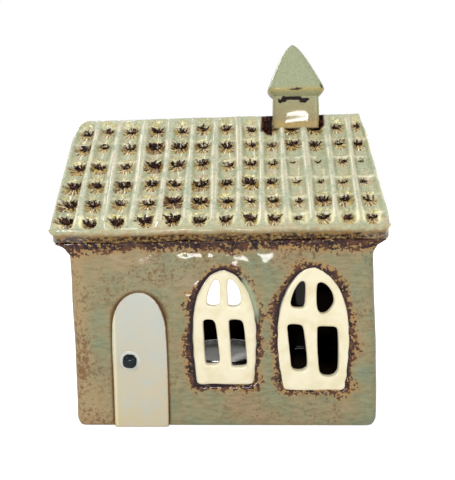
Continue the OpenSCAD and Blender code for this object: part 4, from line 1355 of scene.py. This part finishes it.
# %% The dark, the pools and the crust under the eave
cut = add(tree, "MapRange", {"From Min": 0.54, "From Max": 0.64, "To Max": 1.1}, {"Value": fan})
cut_far = add(tree, "MapRange", {"From Min": 0.9, "From Max": 2.2}, {"Value": radius})
cut = add(tree, "Math", {"operation": "MULTIPLY"}, {0: cut, 1: cut_far})
field = add(tree, "Math", {"operation": "SUBTRACT"}, {0: whole, 1: cut})
brown_on = add(tree, "MapRange", {"From Min": -0.55, "From Max": -0.05, "To Max": 0.75}, {"Value": field})
brown_on = add(tree, "Math", {"operation": "MULTIPLY"}, {0: brown_on, 1: near})
browned = add(tree, "Mix", {"data_type": "RGBA", 7: "#5a3820"}, {0: brown_on, 6: rimmed})
dark_on = add(tree, "MapRange", {"From Min": -0.08, "From Max": 0.22}, {"Value": field})
dark_on = add(tree, "Math", {"operation": "MULTIPLY"}, {0: dark_on, 1: near})
dark_on = add(tree, "Math", {"operation": "MAXIMUM"}, {0: dark_on, 1: masks["pool"]})
dark_tone = add(tree, "ValToRGB",
                {"stops": ((0.40, "#0a0505"), (0.50, "#1b0e10"), (0.58, "#45261f"), (0.66, "#7a5234"))},
                {"Fac": fine})
darkened = add(tree, "Mix", {"data_type": "RGBA"}, {0: dark_on, 6: browned, 7: dark_tone})
crust_noise = add(tree, "TexNoise", {"Scale": per(1.8), "Detail": 5.0, "Roughness": 0.7}, {"Vector": place})
crust_tone = add(tree, "ValToRGB",
                 {"stops": ((0.42, "#24151a"), (0.48, "#4a2f26"), (0.53, "#866a3c"), (0.64, "#a68e5c"))},
                 {"Fac": crust_noise})
crust_on = add(tree, "Math", {"operation": "MAXIMUM"}, {0: masks["band"], 1: masks["under"]})
crusted = add(tree, "Mix", {"data_type": "RGBA"}, {0: crust_on, 6: darkened, 7: crust_tone})
honey_on = add(tree, "MapRange", {"From Min": 0.40, "From Max": 0.54, "To Max": 0.9}, {"Value": crust_noise})
honey_on = add(tree, "Math", {"operation": "MULTIPLY"}, {0: honey_on, 1: masks["honey"]})
final = add(tree, "Mix", {"data_type": "RGBA", 7: "#8d6a34"}, {0: honey_on, 6: crusted})
gloss = add(tree, "MapRange", {"To Min": 0.7, "To Max": 0.15}, {"Value": dark_on})
fan_height = add(tree, "Math", {"operation": "MULTIPLY"}, {0: fan, 1: fan_on})
heights = add(tree, "Math", {"operation": "SUBTRACT"}, {0: fan_height, 1: dark_on})
relief = add(tree, "Bump", {"Strength": 0.5, "Distance": 0.35 * MM}, {"Height": heights})
set_up(shader, CLEAR_COAT | {"Roughness": 0.4},
       {"Base Color": final, "Coat Weight": gloss, "Normal": relief, "Coat Normal": relief})
print(roof_glaze.name, len(tree.nodes), "nodes")

# %% [markdown]
# The chimney got the plain glaze without oxide under it, apart from a squiggle in the crease below
# its cap. It is an even grey green that warms to tan at the foot, where it is thin. A ramp over the
# height gives that change, and a little noise bends the ramp so that no line shows.

# %% Chimney glaze
# Grey-green celadon, dipped and fired: an even skin whose gloss shows the lamps as wavy bars.
WARM_Z = 132
COOL_Z = 152
chimney_glaze, tree, shader = new_material("celadon_glaze")
place = add(tree, "TexCoord").outputs["Object"]
oxide = add(tree, "Attribute", {"attribute_name": "oxide"}).outputs["Fac"]
foot = add(tree, "Attribute", {"attribute_name": "foot"}).outputs["Fac"]
axes = add(tree, "SeparateXYZ", links={0: place})
mottle = add(tree, "TexNoise", {"Scale": per(7), "Detail": 4.0}, {"Vector": place})
rise = add(tree, "MapRange", {"From Min": WARM_Z * MM, "From Max": COOL_Z * MM},
           {"Value": axes.outputs["Z"]})
tone = add(tree, "Math", {"operation": "MULTIPLY_ADD", 1: 0.35}, {0: mottle, 2: rise})
base = add(tree, "ValToRGB",
           {"stops": ((0.10, "#93856a"), (0.45, "#9b926f"), (0.85, "#999b7a"), (0.97, "#9ca184"))},
           {"Fac": tone})
fine = add(tree, "TexNoise", {"Scale": per(0.9), "Detail": 5.0, "Roughness": 0.7}, {"Vector": place})
foot_on = add(tree, "Math", {"operation": "MULTIPLY"}, {0: foot, 1: fine})
warmed = add(tree, "Mix", {"data_type": "RGBA", 7: "#b99a4e"}, {0: foot_on, 6: base})
oxide_sum = add(tree, "Math", {"operation": "MULTIPLY_ADD", 1: 2.0}, {0: fine, 2: oxide})
oxide_on = add(tree, "MapRange", {"From Min": 1.22, "From Max": 1.45}, {"Value": oxide_sum})
oxide_some = add(tree, "MapRange", {"From Min": 0.10, "From Max": 0.35}, {"Value": oxide})
oxide_on = add(tree, "Math", {"operation": "MULTIPLY"}, {0: oxide_on, 1: oxide_some})
grain = add(tree, "ValToRGB", {"stops": ((0.36, "#e4e5dd"), (0.50, "#f5f5f0"), (0.62, "#ffffff"))},
            {"Fac": fine})
grained = add(tree, "Mix", {"data_type": "RGBA", "blend_type": "MULTIPLY", 0: 1.0}, {6: warmed, 7: grain})
oxided = add(tree, "Mix", {"data_type": "RGBA", 7: "#1c1010"}, {0: oxide_on, 6: grained})
relief = add(tree, "Bump", {"Strength": 0.12, "Distance": 0.2 * MM}, {"Height": mottle})
set_up(shader, CLEAR_COAT | {"Roughness": 0.4}, {"Base Color": oxided, "Normal": relief})
print(chimney_glaze.name, len(tree.nodes), "nodes")

# %% [markdown]
# The windows are an opaque cream, brushed on thick enough to hide the clay. Three creams that hardly
# differ keep it from looking like paint, and a low bump gives the brushed glaze its gentle waves.

# %% Window glaze
# Opaque tin glaze, brushed and fired: creamy and even, with soft highlights on the rounded edges.
window_glaze, tree, shader = new_material("cream_tin_glaze")
place = add(tree, "TexCoord").outputs["Object"]
mottle = add(tree, "TexNoise", {"Scale": per(8), "Detail": 4.0}, {"Vector": place})
cream = add(tree, "ValToRGB", {"stops": ((0.35, "#d9ceac"), (0.55, "#e2dabe"), (0.75, "#ddd2b3"))},
            {"Fac": mottle})
relief = add(tree, "Bump", {"Strength": 0.15, "Distance": 0.3 * MM}, {"Height": mottle})
set_up(shader, CLEAR_COAT | {"Roughness": 0.4}, {"Base Color": cream, "Normal": relief})
print(window_glaze.name, len(tree.nodes), "nodes")

# %% [markdown]
# The door is pale grey, bluish in clouds and warmer towards the foot. The brown glaze of the wall
# crept over its rim and left a ragged brown edge. A pale yellow line just inside the left edge is a
# painted highlight. The rim was painted from the slab's own normals, so the edge follows the shape however it
# is cut.

# %% Door glaze
# Pale grey glaze, brushed and fired: glossy, cloudy, and brown at the thin edge.
DOOR_TOP = 58
door_glaze, tree, shader = new_material("pale_grey_glaze")
place = add(tree, "TexCoord").outputs["Object"]
axes = add(tree, "SeparateXYZ", links={0: place})
mottle = add(tree, "TexNoise", {"Scale": per(12), "Detail": 4.0}, {"Vector": place})
rise = add(tree, "MapRange", {"From Max": DOOR_TOP * MM, "To Max": 0.7}, {"Value": axes.outputs["Z"]})
tone = add(tree, "Math", {"operation": "MULTIPLY_ADD", 1: 0.45}, {0: mottle, 2: rise})
grey = add(tree, "ValToRGB", {"stops": ((0.12, "#bcaf8f"), (0.5, "#bab29c"), (0.9, "#b6b7ad"))},
           {"Fac": tone})
edge = add(tree, "Attribute", {"attribute_name": "edge"}).outputs["Fac"]
inner = add(tree, "Attribute", {"attribute_name": "inner"}).outputs["Fac"]
cloud = add(tree, "TexNoise", {"Scale": per(7), "Detail": 4.0, "Roughness": 0.6}, {"Vector": place})
blue_on = add(tree, "MapRange", {"From Min": 0.48, "From Max": 0.64, "To Max": 0.45}, {"Value": cloud})
tinted = add(tree, "Mix", {"data_type": "RGBA", 7: "#aab6b4"}, {0: blue_on, 6: grey})
# Painted highlight along the inside of the left edge.
left_edge_highlight_on = add(tree, "Math", {"operation": "MULTIPLY", 1: 0.6}, {0: inner})
tinted = add(tree, "Mix", {"data_type": "RGBA", 7: "#e0d79f"}, {0: left_edge_highlight_on, 6: tinted})
ragged = add(tree, "TexNoise", {"Scale": per(1.5), "Detail": 4.0}, {"Vector": place})
edge_sum = add(tree, "Math", {"operation": "MULTIPLY_ADD", 1: 1.2}, {0: ragged, 2: edge})
edge_on = add(tree, "MapRange", {"From Min": 1.0, "From Max": 1.35, "To Max": 0.9}, {"Value": edge_sum})
edged = add(tree, "Mix", {"data_type": "RGBA", 7: "#7a5226"}, {0: edge_on, 6: tinted})
relief = add(tree, "Bump", {"Strength": 0.1, "Distance": 0.3 * MM}, {"Height": mottle})
set_up(shader, CLEAR_COAT | {"Roughness": 0.45}, {"Base Color": edged, "Normal": relief})
print(door_glaze.name, len(tree.nodes), "nodes")

# %% [markdown]
# The knob's pellet was touched with black slip, which is liquid clay, and its pressed foot stayed
# pale. Two colours and the painted mask between them are all it takes at this size.

# %% Knob glaze
# Black slip under clear glaze: a nearly black bead with a blue cast.
knob_glaze, tree, shader = new_material("black_slip_under_glaze")
pellet = add(tree, "Attribute", {"attribute_name": "pellet"}).outputs["Fac"]
place = add(tree, "TexCoord").outputs["Object"]
mottle = add(tree, "TexNoise", {"Scale": per(2.0), "Detail": 3.0}, {"Vector": place})
slip = add(tree, "Mix", {"data_type": "RGBA", 6: "#05080a", 7: "#12222b"}, {0: mottle})
two = add(tree, "Mix", {"data_type": "RGBA", 6: "#c3c5bd"}, {0: pellet, 7: slip})
set_up(shader, CLEAR_COAT | {"Roughness": 0.5}, {"Base Color": two})
print(knob_glaze.name, len(tree.nodes), "nodes")

# %% [markdown]
# The tealight is drawn aluminium with fine streaks, paraffin wax that lets light in a little, a tinned
# steel tab and braided cotton. Plain colours would do for a shape this small, but through the window
# only the metal's and the wax's own way with light tells the eye that it is a candle.

# %% Aluminium
# Rolled sheet, drawn into a cup: a bright metal with streaks up its wall that break the highlights.
# The real streaks are finer than the render can show, so they are 0.5 mm wide here.
aluminium, tree, shader = new_material("drawn_aluminium")
place = add(tree, "TexCoord").outputs["Object"]
stretch = add(tree, "Mapping", {"Scale": (1.0, 1.0, 0.12)}, {"Vector": place})
streak = add(tree, "TexNoise", {"Scale": per(0.5), "Detail": 3.0}, {"Vector": stretch})
gloss = add(tree, "MapRange", {"To Min": 0.20, "To Max": 0.38}, {"Value": streak})
relief = add(tree, "Bump", {"Strength": 0.15, "Distance": 0.05 * MM}, {"Height": streak})
set_up(shader, {"Base Color": "#d6d7d8", "Metallic": 1.0}, {"Roughness": gloss, "Normal": relief})
print(aluminium.name, len(tree.nodes), "nodes")

# %% Paraffin wax
# Poured and set: light goes in a little and comes out beside, so the edges look soft and milky.
paraffin, tree, shader = new_material("paraffin_wax")
place = add(tree, "TexCoord").outputs["Object"]
cloud = add(tree, "TexNoise", {"Scale": per(5), "Detail": 3.0}, {"Vector": place})
milk = add(tree, "Mix", {"data_type": "RGBA", 6: "#f1eee4", 7: "#faf8f0"}, {0: cloud})
relief = add(tree, "Bump", {"Strength": 0.2, "Distance": 0.2 * MM}, {"Height": cloud})
set_up(shader, {"Roughness": 0.38, "IOR": 1.43, "Subsurface Weight": 0.35, "Subsurface Scale": 1.5 * MM},
       {"Base Color": milk, "Normal": relief})
print(paraffin.name, len(tree.nodes), "nodes")

# %% Tinned steel
# Stamped sheet with a thin coat of tin: a greyer metal than the cup, with cloudy reflections.
tab_steel, tree, shader = new_material("tinned_steel")
place = add(tree, "TexCoord").outputs["Object"]
streak = add(tree, "TexNoise", {"Scale": per(0.8), "Detail": 3.0}, {"Vector": place})
gloss = add(tree, "MapRange", {"To Min": 0.28, "To Max": 0.45}, {"Value": streak})
set_up(shader, {"Base Color": "#b9b9b6", "Metallic": 1.0}, {"Roughness": gloss})
print(tab_steel.name, len(tree.nodes), "nodes")

# %% Cotton
# Braided yarn, waxed: matt and creamy, with threads about 0.4 mm thick.
cotton, tree, shader = new_material("braided_cotton")
place = add(tree, "TexCoord").outputs["Object"]
thread = add(tree, "TexNoise", {"Scale": per(0.4), "Detail": 3.0}, {"Vector": place})
yarn = add(tree, "Mix", {"data_type": "RGBA", 6: "#d8d0b8", 7: "#f1ecdc"}, {0: thread})
relief = add(tree, "Bump", {"Strength": 0.5, "Distance": 0.1 * MM}, {"Height": thread})
set_up(shader, {"Roughness": 0.85}, {"Base Color": yarn, "Normal": relief})
print(cotton.name, len(tree.nodes), "nodes")

# %% [markdown]
# ## Putting it together
# Every skin rides on the body that it belongs to and stands for the imported nodes under it. The wick
# tab keeps its imported shape and only gets its steel.

# %% Bodies and stand-ins
wear(walls, wall_glaze, "house", "wall_glaze", *BODY_NODES)
wear(roof, roof_glaze, "house", "roof_glaze", "front_roof", "rear_roof")
wear(shaft, chimney_glaze, "house", "roof_glaze", "chimney_shaft")
wear(cap, chimney_glaze, "house", "roof_glaze", "chimney_cap")
for node, slab in windows.items():
    wear(slab, window_glaze, "house", "window_glaze", node)
wear(door, door_glaze, "house", "door_glaze", "door")
wear(knob, knob_glaze, "house", "knob_glaze", "door_knob")
wear(cup, aluminium, "tealight", "cup_aluminium", "tealight_cup")
wear(wax, paraffin, "tealight", "paraffin_wax", "tealight_wax")
wear(wick, cotton, "tealight", "wick_cotton", "tealight_wick")
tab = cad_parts["wick_tab"]
tab.data.materials.clear()
tab.data.materials.append(tab_steel)
